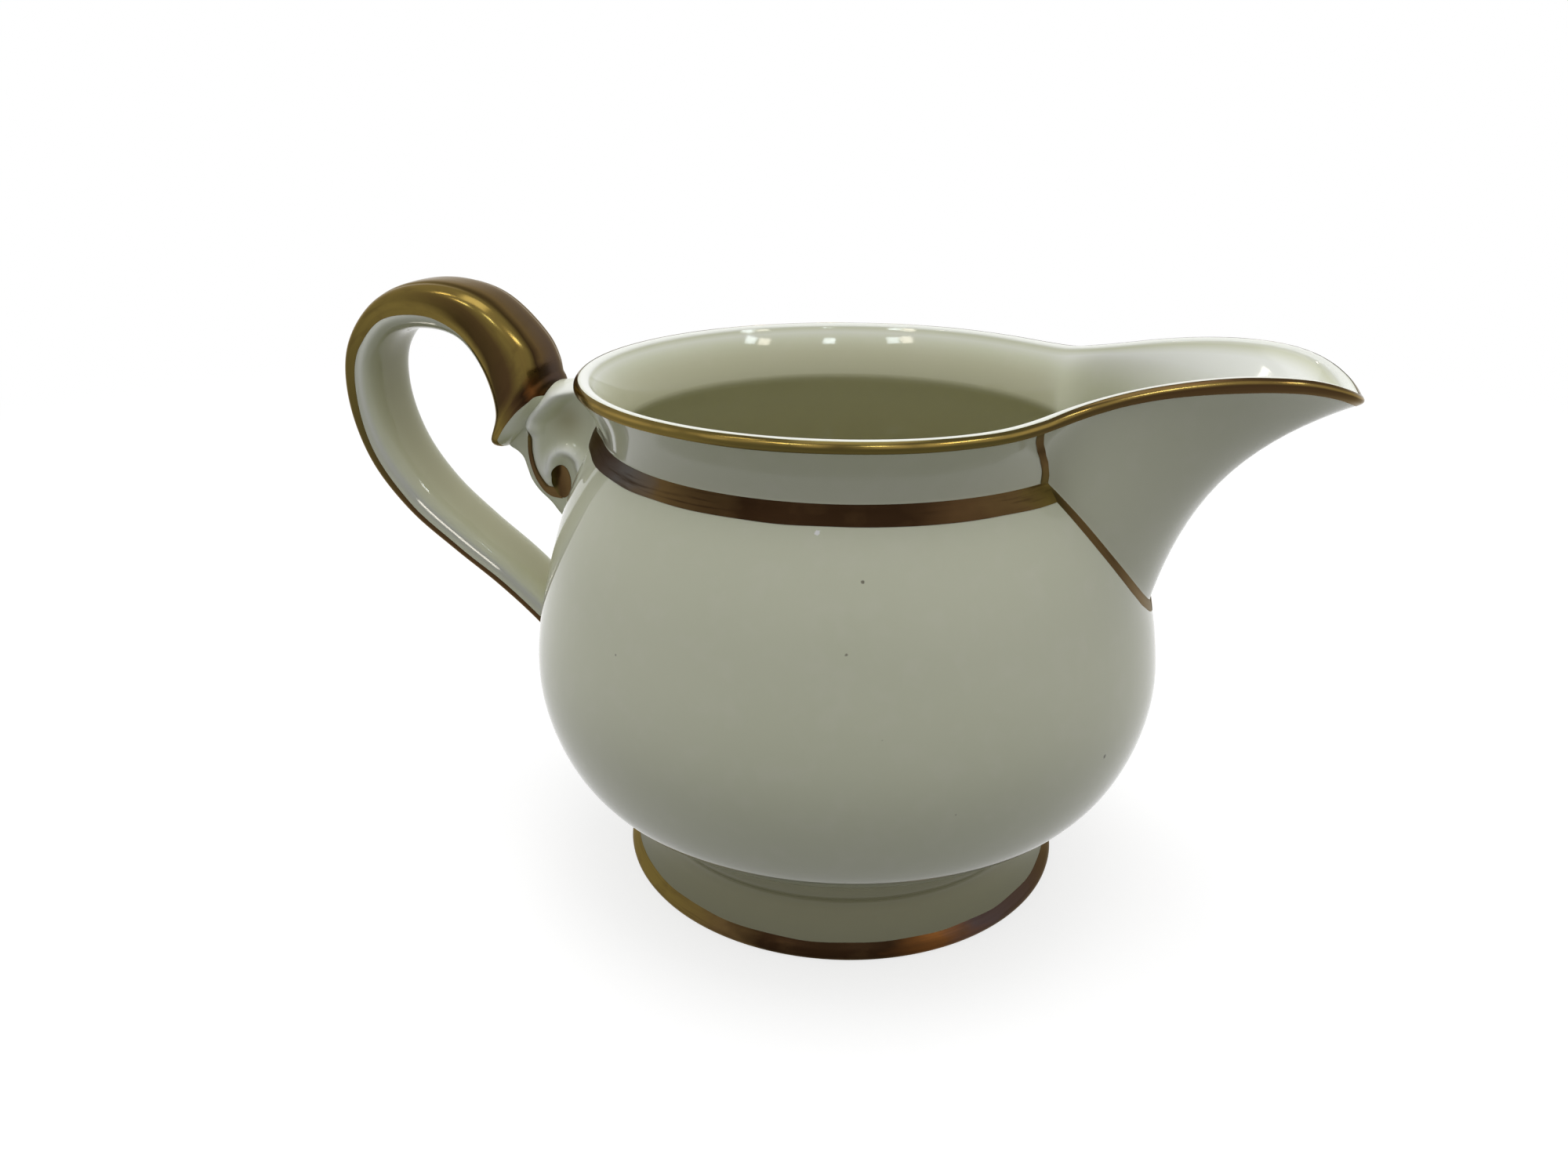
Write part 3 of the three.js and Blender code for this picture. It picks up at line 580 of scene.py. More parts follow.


# %% [markdown]
# ## The body
#
# Bowl, neck, spout and foot are one body under one glaze, with no seam. So they are modelled as one closed
# skin: it starts in the middle of the underside, runs out to the foot ring, round its standing edge, up the
# outside, over the lip and down the inside to the middle of the floor. First every ring is extruded as a circle,
# which gives a plain column. Then each point is moved to its place on the wall's formula, which draws out the
# spout. This could be done with proportional editing, but only a formula keeps the lip on its line to a tenth of
# a millimetre. Each ring also says how thinly the glaze lies on it: it runs off edges and pools in hollows. The
# same number paints shade on the foot, the bowl's base and deep inside, and light under the lip inside and
# inside the spout.

# %% Rings of the foot
foot_height = underside_height
underside_radius = bowl_radius * profile_shares[0][1]
foot_wall = 3 * mm
waist_radius = underside_radius + 0.6 * mm
bead_depth = 1.1 * mm
foot_flare = 3.5 * mm
lip_turn = 0.6 * mm
standing_width = 1.5 * mm
foot_radius = waist_radius + foot_flare
standing_radius = foot_radius - lip_turn
recess_radius = underside_radius - foot_wall


def foot_rings(radius, reach, *shares):
    """Rings that stand out from a radius: by shares of a reach, and of the foot's height."""
    return [(radius + reach * out, foot_height * high) for out, high in shares]


# From the middle of the underside out to the standing edge, and from there up to the bowl.
recess_rings = foot_rings(
    0, recess_radius, (0.03, 1), (0.5, 1), (0.88, 1), (0.96, 0.99), (0.995, 0.955), (1, 0.9))
recess_rings += foot_rings(recess_radius, foot_wall, (0.12, 0.72), (0.45, 0.5))
recess_rings += foot_rings(
    standing_radius - standing_width, lip_turn, (-2.2, 0.22), (-0.8, 0.06), (-0.2, 0.012), (0.2, 0))
recess_rings += foot_rings(standing_radius, lip_turn, (-0.2, 0), (0.3, 0.01))
flare_rings = foot_rings(foot_radius, lip_turn, (-0.25, 0.028), (0, 0.07))
flare_rings += foot_rings(foot_radius, foot_flare, (-0.05, 0.105))
flare_rings += foot_rings(
    waist_radius, foot_flare, (0.84, 0.145), (0.63, 0.2), (0.36, 0.3), (0.15, 0.4), (0.04, 0.49), (0, 0.57))
flare_rings += foot_rings(
    waist_radius, bead_depth, (0.06, 0.635), (0.3, 0.675), (0.75, 0.71), (0.98, 0.76), (1, 0.83), (0.86, 0.89),
    (0.5, 0.935), (0.2, 0.975))
print("foot:", len(recess_rings), "rings under it,", len(flare_rings), "up its side")


# %% Rows of the body
def floor_point(angle, share):
    """A point of the bowl's floor inside, at a share of the way from its middle to the wall."""
    point = bowl_inside_point(angle, 0) * share
    point.z = floor_height
    return point


def inside_wall_point(angle, share):
    """A point of the neck's or spout's wall inside."""
    return wall_point(angle, share, inside=True)


vee_columns = 14
neck_columns = 50
column_angles = [vee_half_angle * k / vee_columns for k in range(vee_columns)]
column_angles += [lerp(vee_half_angle, 180, k / neck_columns) for k in range(neck_columns)]
column_angles += [180.0] + [-angle for angle in reversed(column_angles[1:])]

bowl_rows = [0.018, 0.04, 0.075, 0.12, 0.175, 0.235, 0.3, 0.37, 0.44, 0.51, 0.58, 0.65, 0.715, 0.78, 0.835]
bowl_rows += [0.885, 0.925, 0.955, 0.978, 0.992]
wall_rows = [0.0, 0.045, 0.12, 0.22, 0.34, 0.46, 0.58, 0.7, 0.81, 0.9, 0.96]
crest_turns = [0, 30, 60, 90, 120, 150, 180]
inside_rows = [0.9, 0.78, 0.64, 0.5, 0.36, 0.22, 0.1, 0.0]
bowl_inside_rows = [0.97, 0.93, 0.87, 0.8, 0.72, 0.63, 0.54, 0.45, 0.36, 0.28, 0.2, 0.13, 0.075, 0.03, 0.0]
floor_rows = [0.75, 0.4, 0.03]

# How thinly the glaze lies, with painted light and shade: 1 is a lean glaze and painted light, 0 common, -1 a
# deep glaze and painted shade, and -2 the deepest painted shade.
# The foot's flared edge and waist, and the bowl's base next to the foot, carry painted shade.
pooled_and_shaded, foot_edge_painted_shade, foot_waist_painted_shade, bowl_base_painted_shade, crest_glaze = -1.0, -1.9, -0.9, -0.35, 0.9
# Inside the neck and the bowl, painted light under the lip and painted shade deep down; inside the spout, painted
# light.
inside_light_swing, inside_painted_shade, spout_inside_painted_light = 0.55, -0.55, 0.9


def foot_flare_painted_shade(height):
    """Painted shade on the foot: darkest on its flared edge and less up to its waist."""
    return lerp(foot_edge_painted_shade, foot_waist_painted_shade, ease(height / foot_height * 1.5))


def inside_wall_light_and_shade(share):
    """Inside the neck the colour is lighter under the lip and darker further down: the glaze running off and
    gathering, and painted light and shade.
    """
    return inside_light_swing * ease((share - 0.7) * 4) - inside_light_swing * ease((0.9 - share) * 2)


# Each row has its place, its share and its number for the glaze and the painted light and shade.
rows = [(ring_point, size, pooled_and_shaded) for size in recess_rings]
rows += [(ring_point, size, foot_flare_painted_shade(size[1])) for size in flare_rings]
rows += [(bowl_point, share, bowl_base_painted_shade * ease(1 - share * 7)) for share in bowl_rows]
rows += [(wall_point, share, 0) for share in wall_rows]
rows += [(crest_point, turn, crest_glaze if 90 <= turn <= 150 else 0) for turn in crest_turns]
rows += [(inside_wall_point, share, inside_wall_light_and_shade(share)) for share in inside_rows]
rows += [
    (bowl_inside_point, share, lerp(inside_painted_shade, pooled_and_shaded, ease((1 - share) * 4))) for share in bowl_inside_rows
]
rows += [(floor_point, share, pooled_and_shaded) for share in floor_rows]
print("body:", len(rows), "rows of", len(column_angles), "points")


# %% Body
def body_glaze_and_shade(level, column):
    """The body's number: as its row says, and lighter inside the spout, a painted light."""
    place, _, glaze_and_shading = rows[level]
    spout_share = ease(1.4 - abs(column_angles[column]) / vee_half_angle)
    return glaze_and_shading + (spout_inside_painted_light * spout_share if place is inside_wall_point else 0)


body_rings = [[place(angle, value) for angle in column_angles] for place, value, _ in rows]
jug_body = tower("jug_body", body_rings, body_glaze_and_shade)
refine(jug_body)

# %% [markdown]
# ## The handle's strap
#
# The strap is soft and flattened. It is 12 mm wide over its top and 10 mm at the bowl, and from a thick, rounded
# nose it thins out to about 6 mm. Its two edges are smooth lines in the jug's mirror plane, measured from the
# photograph, and a section between them is a rounded rectangle, with a hollow flute down each side and a fine
# groove on either side of the back. It could be a curve with a bevel, but a bevel keeps one section, and this
# strap changes all the way. At the bowl the section spreads a little, as the slip at a real joint does.

# %% Strap lines
handle_reach = 78.8 * mm
handle_top = 83.6 * mm
strap_top_width = 12 * mm
strap_low_width = 10 * mm
narrowing_start = 0.375
strap_squareness = 2.8
flute_depth_share = 0.12
flute_place, flute_width = 0.08, 0.36
flute_start, flute_run = 0.18, 0.2
groove_run = 0.08
groove_depth = 0.16 * mm
groove_width = 0.3 * mm
groove_place_share = 0.55
fillet_size = 0.8 * mm
fillet_reach = 1.6 * mm
fillet_start = 0.6
bury_depth = 1.1 * mm

strap_inner_shares = [
    (0.699, 0.709), (0.68, 0.762), (0.697, 0.838), (0.737, 0.893), (0.797, 0.91), (0.872, 0.9),
    (0.912, 0.856), (0.92, 0.785), (0.893, 0.698), (0.834, 0.619), (0.753, 0.552), (0.661, 0.487),
    (0.571, 0.41), (0.49, 0.33), (0.41, 0.25),
]
strap_outer_shares = [
    (0.57, 0.84), (0.577, 0.868), (0.597, 0.903), (0.686, 0.976), (0.801, 0.996), (0.909, 0.966),
    (0.985, 0.882), (1.002, 0.781), (0.97, 0.661), (0.894, 0.565), (0.799, 0.494), (0.706, 0.431),
    (0.624, 0.365), (0.55, 0.287), (0.477, 0.209),
]


def plane_point(shares):
    """A point of the mirror plane, from shares of the handle's reach and top."""
    return Vector((-handle_reach * shares[0], 0, handle_top * shares[1]))


strap_inner = SmoothLine([plane_point(shares) for shares in strap_inner_shares])
strap_outer = SmoothLine([plane_point(shares) for shares in strap_outer_shares])
print("strap:", round(strap_outer.length, 4), "m along its back,", round(strap_inner.length, 4), "m inside")


# %% Sections of the strap
def section_point(share, angle):
    """A point of the strap's section at a share of its stations; angle 0 is the middle of its back."""
    inner, outer = strap_inner.spot(share), strap_outer.spot(share)
    middle = (inner + outer) / 2
    half = (outer - inner) / 2
    narrowing = ease((share - narrowing_start) / (1 - narrowing_start))
    half_width = lerp(strap_top_width, strap_low_width, narrowing) / 2
    c, s = math.cos(math.radians(angle)), math.sin(math.radians(angle))
    power = 2 / strap_squareness
    outward = math.copysign(abs(c) ** power, c)
    aside = math.copysign(abs(s) ** power, s)
    flute = flute_depth_share * bell(outward - flute_place, flute_width) * ease((share - flute_start) / flute_run)
    groove = 0
    if outward > 0:
        off_groove = (abs(aside) - groove_place_share) * half_width
        groove = groove_depth / half.length * bell(off_groove, groove_width) * ease(share / groove_run)
    point = middle + half * (outward - groove)
    point.y += half_width * aside * (1 - flute)
    gap = math.hypot(point.x, point.y) - bowl_radius_at(point.z)
    if share > fillet_start and gap < fillet_reach:
        spread = fillet_size * (1 - max(gap, 0) / fillet_reach) ** 2
        point += (point - middle).normalized() * spread
    return point


def meeting_share(angle):
    """The share at which the strap's line at an angle has gone into the bowl's wall."""
    def outside(share):
        point = section_point(share, angle)
        return math.hypot(point.x, point.y) > bowl_radius_at(point.z) - bury_depth
    return sum(halve(0.7, 1.0, outside, 30)) / 2


print("the strap's back meets the bowl at a share of", round(meeting_share(0), 3))

# %% Strap
strap_steps = 84
strap_sides = 96
first_step, step_crowding = 0.004, 1.3
# The top end is rounded: how far the rounding draws it in, and how far it stands out past the end.
end_inset, end_out = 3.0 * mm, 2.4 * mm
end_turns = [88, 74, 62, 50, 39, 28, 18, 9]
# The strap is lighter along both edges, a lean glaze and a painted reflection, and darker in the middle of its
# inner face, glaze that gathers and painted shade: each has an amount, a place in degrees from the middle of the
# back, and a width.
edge_thin_and_reflection = (0.6, 97, 14)
inner_pool_and_shade = (0.85, 180, 50)

strap_angles = [360 * k / strap_sides for k in range(strap_sides)]
strap_meets = [meeting_share(angle) for angle in strap_angles]
end_middle = (strap_inner.spot(0) + strap_outer.spot(0)) / 2
end_along = (strap_outer.spot(0) - strap_inner.spot(0)).normalized()
end_away = Vector((-end_along.z, 0, end_along.x))
if end_away.x < 0:
    end_away.negate()


def end_point(angle, turn):
    """A point of the rounded top end: turn 0 is where the rounding starts, 90 is the flat of its nose."""
    point = section_point(0, angle)
    inward = end_middle - point
    inset = end_inset * (1 - math.cos(math.radians(turn)))
    out = end_out * math.sin(math.radians(turn))
    return point + inward.normalized() * min(inset, inward.length * 0.9) + end_away * out


def strap_glaze_and_shade(level, column):
    """The strap's number, the same all along it: lighter edges with a painted reflection, and an inner face in
    painted shade.
    """
    off_back = min(strap_angles[column], 360 - strap_angles[column])
    thin, inner_darkening = (size * bell(off_back - middle, width) for size, middle, width in (edge_thin_and_reflection, inner_pool_and_shade))
    return thin - inner_darkening


strap_rings = [[end_point(angle, turn) for angle in strap_angles] for turn in end_turns]
for step in range(strap_steps + 1):
    way = first_step + (1 - first_step) * (1 - (1 - step / strap_steps) ** step_crowding)
    strap_rings.append([section_point(meet * way, angle) for angle, meet in zip(strap_angles, strap_meets)])
strap = tower("handle_strap_glazed", strap_rings, strap_glaze_and_shade)
refine(strap)

# %% [markdown]
# ## The scroll
#
# Under the top of the strap a small scroll carries it on the neck: a thick plate with the same relief on both
# cheeks. A raised ridge starts at the rim and runs down along the end of the gold, a lower border goes on beside
# the gold comma, and a curl bends over a shallow eye, with a hollow above it. On the real jug all of it is soft,
# because the glaze fills every corner. It could be built up from lumps that a voxel remesh melts together, but
# the remesh blurs forms this small. So the plate is a tower again, whose rings follow the outline, smallest in
# the middle of each cheek, and a formula of soft strokes and mounds gives its thickness at each spot. Where a
# cheek comes near the jug's wall it spreads, as the slip at the joint does.

# %% Plate of the scroll
# The outline of the plate in the mirror plane, in millimetres from the jug's axis and from the table.
plate_outline = [
    (-34.5, 70.0), (-34.3, 66.5), (-34.9, 64.5), (-36.0, 62.0), (-37.9, 58.0), (-39.2, 54.0), (-40.6, 50.0),
    (-41.4, 46.8), (-43.2, 47.2), (-44.9, 48.8), (-46.2, 50.4), (-48.1, 52.1), (-49.4, 53.95), (-50.05, 55.95),
    (-50.5, 57.3), (-51.3, 58.05), (-52.1, 58.45), (-52.8, 59.1), (-53.0, 60.2), (-52.5, 61.6), (-49.8, 64.55),
    (-47.05, 67.5), (-45.4, 68.9), (-43.2, 69.3), (-40.0, 69.2), (-36.5, 69.4),
]
plate_middle = (-43.8, 60.5)
plate_half = 3.15
edge_rounding = 1.7
# Paths of the raised ridge, of the border beside the gold comma and of the curl over the eye.
ridge_path = [
    (-37.5, 70.0), (-39.7, 69.3), (-41.4, 68.7), (-42.8, 67.9), (-44.4, 66.6), (-46.0, 65.2), (-47.0, 64.0),
    (-47.3, 62.8),
]
border_path = [(-47.3, 62.8), (-46.9, 61.1), (-46.85, 58.7), (-46.4, 56.4), (-45.3, 54.4)]
curl_path = [
    (-44.9, 56.2), (-44.8, 57.2), (-44.2, 58.4), (-43.0, 59.3), (-41.4, 59.3), (-40.2, 58.4), (-39.8, 57.0),
]
ridge_rise, border_rise, curl_rise = 1.75, 0.9, 1.3
ridge_width, border_width, curl_width = 1.2, 0.95, 1.0
eye_place, eye_size, eye_depth = (-43.4, 54.5), (1.5, 2.5), 0.35
hollow_place, hollow_size, hollow_depth = (-42.0, 63.9), (2.6, 2.6), 0.95
edge_roundness = 2.2
# How far the cheeks spread where they meet the jug's wall.
joint_size = 1.3 * mm
joint_reach = 2.0 * mm
radius_step = 0.25 * mm
print("plate:", len(plate_outline), "points, ridge", len(ridge_path), "curl", len(curl_path))


# %% Jug's outside beside the scroll
@functools.lru_cache(maxsize=None)
def outside_radius(step):
    """The radius of the jug's outside on the handle's side, a number of small steps above the table."""
    height = step * radius_step
    if height <= crease_height:
        return bowl_radius_at(height) + handle_swell(180, height)
    low, _ = halve(0.0, 1.0, lambda share: wall_point(180.0, share).z < height)
    return abs(wall_point(180.0, low).x)


def outside_radius_near(height):
    """The outside radius on the handle's side, read between two of the steps."""
    step = math.floor(height / radius_step)
    return lerp(outside_radius(step), outside_radius(step + 1), height / radius_step - step)


print("outside radius at the crease:", round(outside_radius_near(crease_height), 4))


# %% Strokes and mounds
def distance_to(path, closed=False):
    """A function that gives the distance of a spot of the mirror plane from a smooth path."""
    line = plane_line(path + path[:1] if closed else path)
    samples = 400 if closed else 80
    marks = KDTree(samples + 1)
    for k in range(samples + 1):
        marks.insert(line.at(k / samples), k)
    marks.balance()
    return lambda x, z: marks.find((x, 0, z))[2]


def stroke(path, width):
    """A raised stroke along a path: its height share at a spot of the mirror plane."""
    distance = distance_to(path)
    return lambda x, z: bell(distance(x, z), width)


def mound(place, size):
    """A round mound: its height share at a spot of the mirror plane."""
    return lambda x, z: bell(x - place[0], size[0]) * bell(z - place[1], size[1])


ridge, border = stroke(ridge_path, ridge_width), stroke(border_path, border_width)
curl = stroke(curl_path, curl_width)
eye, hollow = mound(eye_place, eye_size), mound(hollow_place, hollow_size)
edge_distance = distance_to(plate_outline, closed=True)


def raised(x, z):
    """The height shares of the raised forms at a spot: the ridge, its border and the curl."""
    return ridge(x, z), border(x, z), curl(x, z)


def half_thickness(x, z):
    """Half of the plate's thickness at a spot of the mirror plane, in millimetres."""
    on_ridge, on_border, on_curl = raised(x, z)
    squares = ridge_rise ** 2 * on_ridge ** 2 + border_rise ** 2 * on_border ** 2 + curl_rise ** 2 * on_curl ** 2
    full = plate_half + squares ** 0.5 - eye_depth * eye(x, z) - hollow_depth * hollow(x, z)
    inside = min(edge_distance(x, z) / edge_rounding, 1)
    return full * (1 - (1 - inside) ** edge_roundness) ** (1 / edge_roundness)


print("half thickness in the middle:", round(half_thickness(*plate_middle), 2), "mm")

# %% Scroll
scroll_sides = 176
outline = plane_line(plate_outline + plate_outline[:1])
outline_spots = [outline.at(k / scroll_sides) for k in range(scroll_sides)]
cheek_shares = [0.02] + [k / 20 for k in range(2, 16)]
cheek_shares += [0.785, 0.82, 0.85, 0.88, 0.905, 0.93, 0.95, 0.967, 0.981, 0.992]
scroll_rows = [(share, -1) for share in cheek_shares] + [(1, 1)]
scroll_rows += [(share, 1) for share in reversed(cheek_shares)]


def plate_spot(column, share):
    """A spot of the mirror plane at a share of the way from the plate's middle to its outline."""
    spot = outline_spots[column]
    return lerp(plate_middle[0], spot.x, share), lerp(plate_middle[1], spot.z, share)


def scroll_point(column, share, side):
    """A point of one cheek of the scroll, over a spot of the plate."""
    x, z = plate_spot(column, share)
    y = half_thickness(x, z) * mm if share < 1 else 0.0
    gap = math.hypot(x * mm, y) - outside_radius_near(z * mm)
    y += joint_size * max(1 - max(gap, 0) / joint_reach, 0) ** 2 * (1 - share ** 12)
    return Vector((x * mm, side * y, z * mm))


def scroll_glaze_and_shade(level, column):
    """The scroll's number: lighter on the raised forms, a lean glaze and a painted highlight, and darker in the
    hollow, a deep glaze and painted shade.
    """
    x, z = plate_spot(column, scroll_rows[level][0])
    on_ridge, on_border, on_curl = raised(x, z)
    return min(on_ridge + 0.6 * on_border + on_curl, 1) - 0.9 * hollow(x, z)


scroll_rings = [
    [scroll_point(column, share, side) for column in range(scroll_sides)] for share, side in scroll_rows
]
scroll = tower("handle_scroll_glazed", scroll_rings, scroll_glaze_and_shade)
refine(scroll)

# %% [markdown]
# ## The gold
#
# The gold is brushed on over the glaze and fired, so it is a film with no thickness to speak of, but its edges
# are crisp and a little uneven, as a brush leaves them. Each painted line is a grid laid on the wall by the same
# formula as the body, drawn onto the finished surface, and given a thickness of four hundredths of a
# millimetre. The gold could be painted in the body's own material instead, but as a skin it stays sharp at any
# distance and keeps its own finish.

# %% Brush and gold
gold_lift = 0.025 * mm
gold_thickness = 0.04 * mm
crisp_angle = 40
brush_seed = 7
brush = random.Random(brush_seed)


def brushed_edge(size, waves=7):
    """A wavy line of the size given, as a function of a share that closes on itself."""
    parts = [(brush.randint(2, 24), brush.uniform(0, 6.28), brush.uniform(0.3, 1)) for _ in range(waves)]
    total = sum(weight for _, _, weight in parts)
    return lambda share: size * sum(w * math.sin(6.2832 * n * share + p) for n, p, w in parts) / total


# %% Gold skins
def thicken(piece, side):
    """Makes a sheet of gold a thin closed skin with crisp edges."""
    modify(piece, "SOLIDIFY", thickness=gold_thickness, offset=side, use_quality_normals=True)
    face_outwards(piece)
    only(piece)
    bpy.ops.object.shade_smooth_by_angle(angle=math.radians(crisp_angle))
    report(piece)
    return piece


def gild(piece, surface):
    """Draws a grid onto a finished surface and thickens it."""
    modify(piece, "SHRINKWRAP", target=surface, wrap_method="NEAREST_SURFACEPOINT",
           wrap_mode="ABOVE_SURFACE", offset=gold_lift)
    return thicken(piece, 1)


# %% Gold on the rim and under the shoulder
rim_line_width = 0.3 * mm
spout_line_width = 1.0 * mm
gilt_crest_turn = 68
band_width = 2.1 * mm
crease_gap = 0.02 * mm
rim_wobble = brushed_edge(0.16 * mm)
crest_share = 0.6


@functools.lru_cache(maxsize=None)
def gold_start(angle):
    """The share of the wall at which the gold under the lip starts."""
    _, _, spout = lip_frame(angle)
    width = lerp(rim_line_width, spout_line_width, ease(spout * 2)) + rim_wobble(angle / 360)
    top = wall_point(angle, 1)
    return halve(0.0, 1.0, lambda share: (wall_point(angle, share) - top).length > width)[1]


def angle_along(share):
    """The angle round the jug at a share of a line that starts and ends at the handle."""
    return share * 360 - 180


crest_wobble = brushed_edge(4)


def rim_gold_point(along, across):
    """The rim's gold: first up the wall, and then over the lip's crest."""
    angle = angle_along(along)
    if across < 1 - crest_share:
        return wall_point(angle, lerp(gold_start(angle), 1, across / (1 - crest_share)))
    crest_end = gilt_crest_turn + crest_wobble(along)
    return crest_point(angle, crest_end * (across - (1 - crest_share)) / crest_share)


gilt_rim = gild(sheet_on("gilt_rim_line", 480, 8, rim_gold_point, closed=True), jug_body)

band_wobble = brushed_edge(0.09 * mm)


def band_point(along, across):
    """The shoulder band, from one side of the spout round the back to the other."""
    angle = lerp(vee_half_angle, 360 - vee_half_angle, along)
    angle = angle if angle <= 180 else angle - 360
    return skin_point(angle, crease_height - (band_width + band_wobble(along)) * (1 - across) - crease_gap)


gilt_band = gild(sheet_on("gilt_shoulder_band", 360, 6, band_point), jug_body)

# %% Gold lines beside and under the spout
vee_line_width = 1.6 * mm
upright_width = 1.15 * mm
upright_lean = 2.6
upright_middle_angle = 33.0
fine_wobble = 0.07 * mm
vee_wobble = brushed_edge(fine_wobble)


def vee_drop(angle):
    """How far down the gold reaches, so that the slanting line keeps one width."""
    share = min(abs(angle) / vee_half_angle, 1.0)
    slope = vee_straightness + (1 - vee_straightness) * vee_power * share ** (vee_power - 1)
    run = math.radians(vee_half_angle) * bowl_radius_at(vee_height(angle))
    return min(band_width, vee_line_width * math.hypot(1, vee_depth * slope / run))


def vee_point(side):
    """The slanting line on one side, just under the edge where the spout leaves the bowl."""
    def place(along, across):
        angle = vee_half_angle * along
        height = vee_height(angle) - (vee_drop(angle) + vee_wobble(along * 0.3)) * (1 - across)
        return skin_point(side * angle, height)
    return place


def upright_point(side):
    """The short upright line on one side, from the band up to the rim."""
    wobble = brushed_edge(fine_wobble)
    foot_turn = math.degrees(upright_width / crease_radius)

    def place(along, across):
        spread = foot_turn * across + math.degrees(wobble(along * 0.25) / crease_radius) * (2 * across - 1)
        spread += upright_lean * along ** 2
        top = gold_start(side * upright_middle_angle)
        return wall_point(side * (vee_half_angle + spread), lerp(0.0, top, along))
    return place


gilt_vees = {}
gilt_uprights = {}
for side, word in ((1, "far"), (-1, "near")):
    gilt_vees[word] = gild(sheet_on(f"gilt_vee_line_{word}", 60, 4, vee_point(side)), jug_body)
    gilt_uprights[word] = gild(sheet_on(f"gilt_upright_line_{word}", 24, 4, upright_point(side)), jug_body)

# %% Gold on the foot
foot_gold_rings = [flare_rings[k] for k in (4, 3, 2, 1, 0)] + [recess_rings[-1]]
foot_gold_line = plane_line(foot_gold_rings)
foot_gold_start, foot_gold_end = 0.02, 0.93
foot_wobble = brushed_edge(0.05)


def foot_gold_point(along, across):
    """The gold on the foot, from its flare down round the standing edge."""
    spot = foot_gold_line.at(lerp(foot_gold_start + foot_wobble(along), foot_gold_end, across))
    return ring_point(angle_along(along), (spot.x, spot.z))


gilt_foot = gild(sheet_on("gilt_foot_edge", 360, 8, foot_gold_point, closed=True), jug_body)

# %% [markdown]
# ## Gold on the handle
#
# Along the lower run the gold covers the strap's back, which is a narrow line from the side. Over the top it
# widens until it wraps most of the strap, and it ends on the strap's rounded nose in a wavy edge. The scroll has
# a gold comma on each cheek: a thin line down its edge that swells and hooks into the eye. It could be cut from
# one grid, but a line and an eye that overlap, as two touches of the brush do, are simpler to place.

# %% Gold on the strap
# How far round from the middle of the back the gold reaches, from the strap's top end to the bowl.
gilt_span_angles = [150, 144, 122, 103, 94, 87, 82, 79, 78, 78, 78]
# How far down the rounded end the gold reaches, from the middle of the back to the gold's edge.
gilt_end_turns = [56, 50, 24, 14, 20, 46]
strap_wobble = brushed_edge(1.6)
gilt_strap_steps = 240
gilt_strap_columns = 84
gilt_end_share = 12 / gilt_strap_steps


def meeting_share_of(angle):
    """The meeting share, read from the strap's own sides."""
    place = (angle % 360) / 360 * strap_sides
    k = int(place) % strap_sides
    return lerp(strap_meets[k], strap_meets[(k + 1) % strap_sides], place - int(place))


def strap_gold_point(along, across):
    """The gold on the strap: first up its rounded end, and then along its back."""
    way = max((along - gilt_end_share) / (1 - gilt_end_share), 0)
    span = among(gilt_span_angles, way) + strap_wobble(along * 0.5) * min(1, way * 8)
    angle = span * (2 * across - 1)
    if along < gilt_end_share:
        end_turn = among(gilt_end_turns, abs(angle) / gilt_span_angles[0], ease)
        return end_point(angle, end_turn * (1 - along / gilt_end_share))
    return section_point(way * meeting_share_of(angle), angle)


gilt_strap = gild(sheet_on("gilt_strap_back", gilt_strap_steps, gilt_strap_columns, strap_gold_point), strap)

# %% Gold on the scroll
comma_path = [
    (-47.85, 62.1), (-48.1, 60.3), (-48.15, 58.4), (-47.75, 56.3), (-46.8, 54.3), (-45.4, 52.9), (-43.5, 52.6),
]
comma_line = plane_line(comma_path, mm)
comma_width = 0.75 * mm
comma_start_width, comma_end_width = 1.25, 2.3
gold_eye_size = (1.45 * mm, 2.6 * mm)
# The grids start beside the scroll, and are drawn straight in onto its cheek.
stand_off = 8 * mm


def comma_point(side):
    """The comma's line, which starts as a point and swells towards its hook."""
    def place(along, across):
        middle, heading = comma_line.at(along), comma_line.heading(min(max(along, 0.01), 0.99))
        swelling = lerp(comma_start_width, comma_end_width, ease(along) ** 2)
        half = comma_width / 2 * swelling * min(1, 0.2 + along * 8)
        point = middle + Vector((-heading.z, 0, heading.x)) * half * (2 * across - 1)
        point.y = side * stand_off
        return point
    return place


def eye_point(side):
    """The comma's eye: a square grid drawn in to a rounded oval."""
    def place(along, across):
        u, v = 2 * along - 1, 2 * across - 1
        x = u * math.sqrt(1 - v * v / 2) * gold_eye_size[0]
        z = v * math.sqrt(1 - u * u / 2) * gold_eye_size[1]
        return Vector((eye_place[0] * mm + x, side * stand_off, eye_place[1] * mm + z))
    return place


def gild_cheek(name, side):
    """A gold comma on one cheek. Its eye lies a hair above the line's end, as a second touch of the brush."""
    line = sheet_on(name + "_line", 60, 4, comma_point(side))
    eye_gold = sheet_on(name + "_eye", 16, 16, eye_point(side))
    for sheet, lift in ((line, gold_lift), (eye_gold, gold_lift * 1.5)):
        modify(sheet, "SHRINKWRAP", target=scroll, wrap_method="PROJECT", use_project_y=True,
               use_positive_direction=side < 0, use_negative_direction=side > 0, offset=lift)
    only(line)
    eye_gold.select_set(True)
    bpy.ops.object.join()
    return thicken(named(name), -side)


gilt_commas = {word: gild_cheek(f"gilt_comma_{word}", side) for side, word in ((1, "far"), (-1, "near"))}

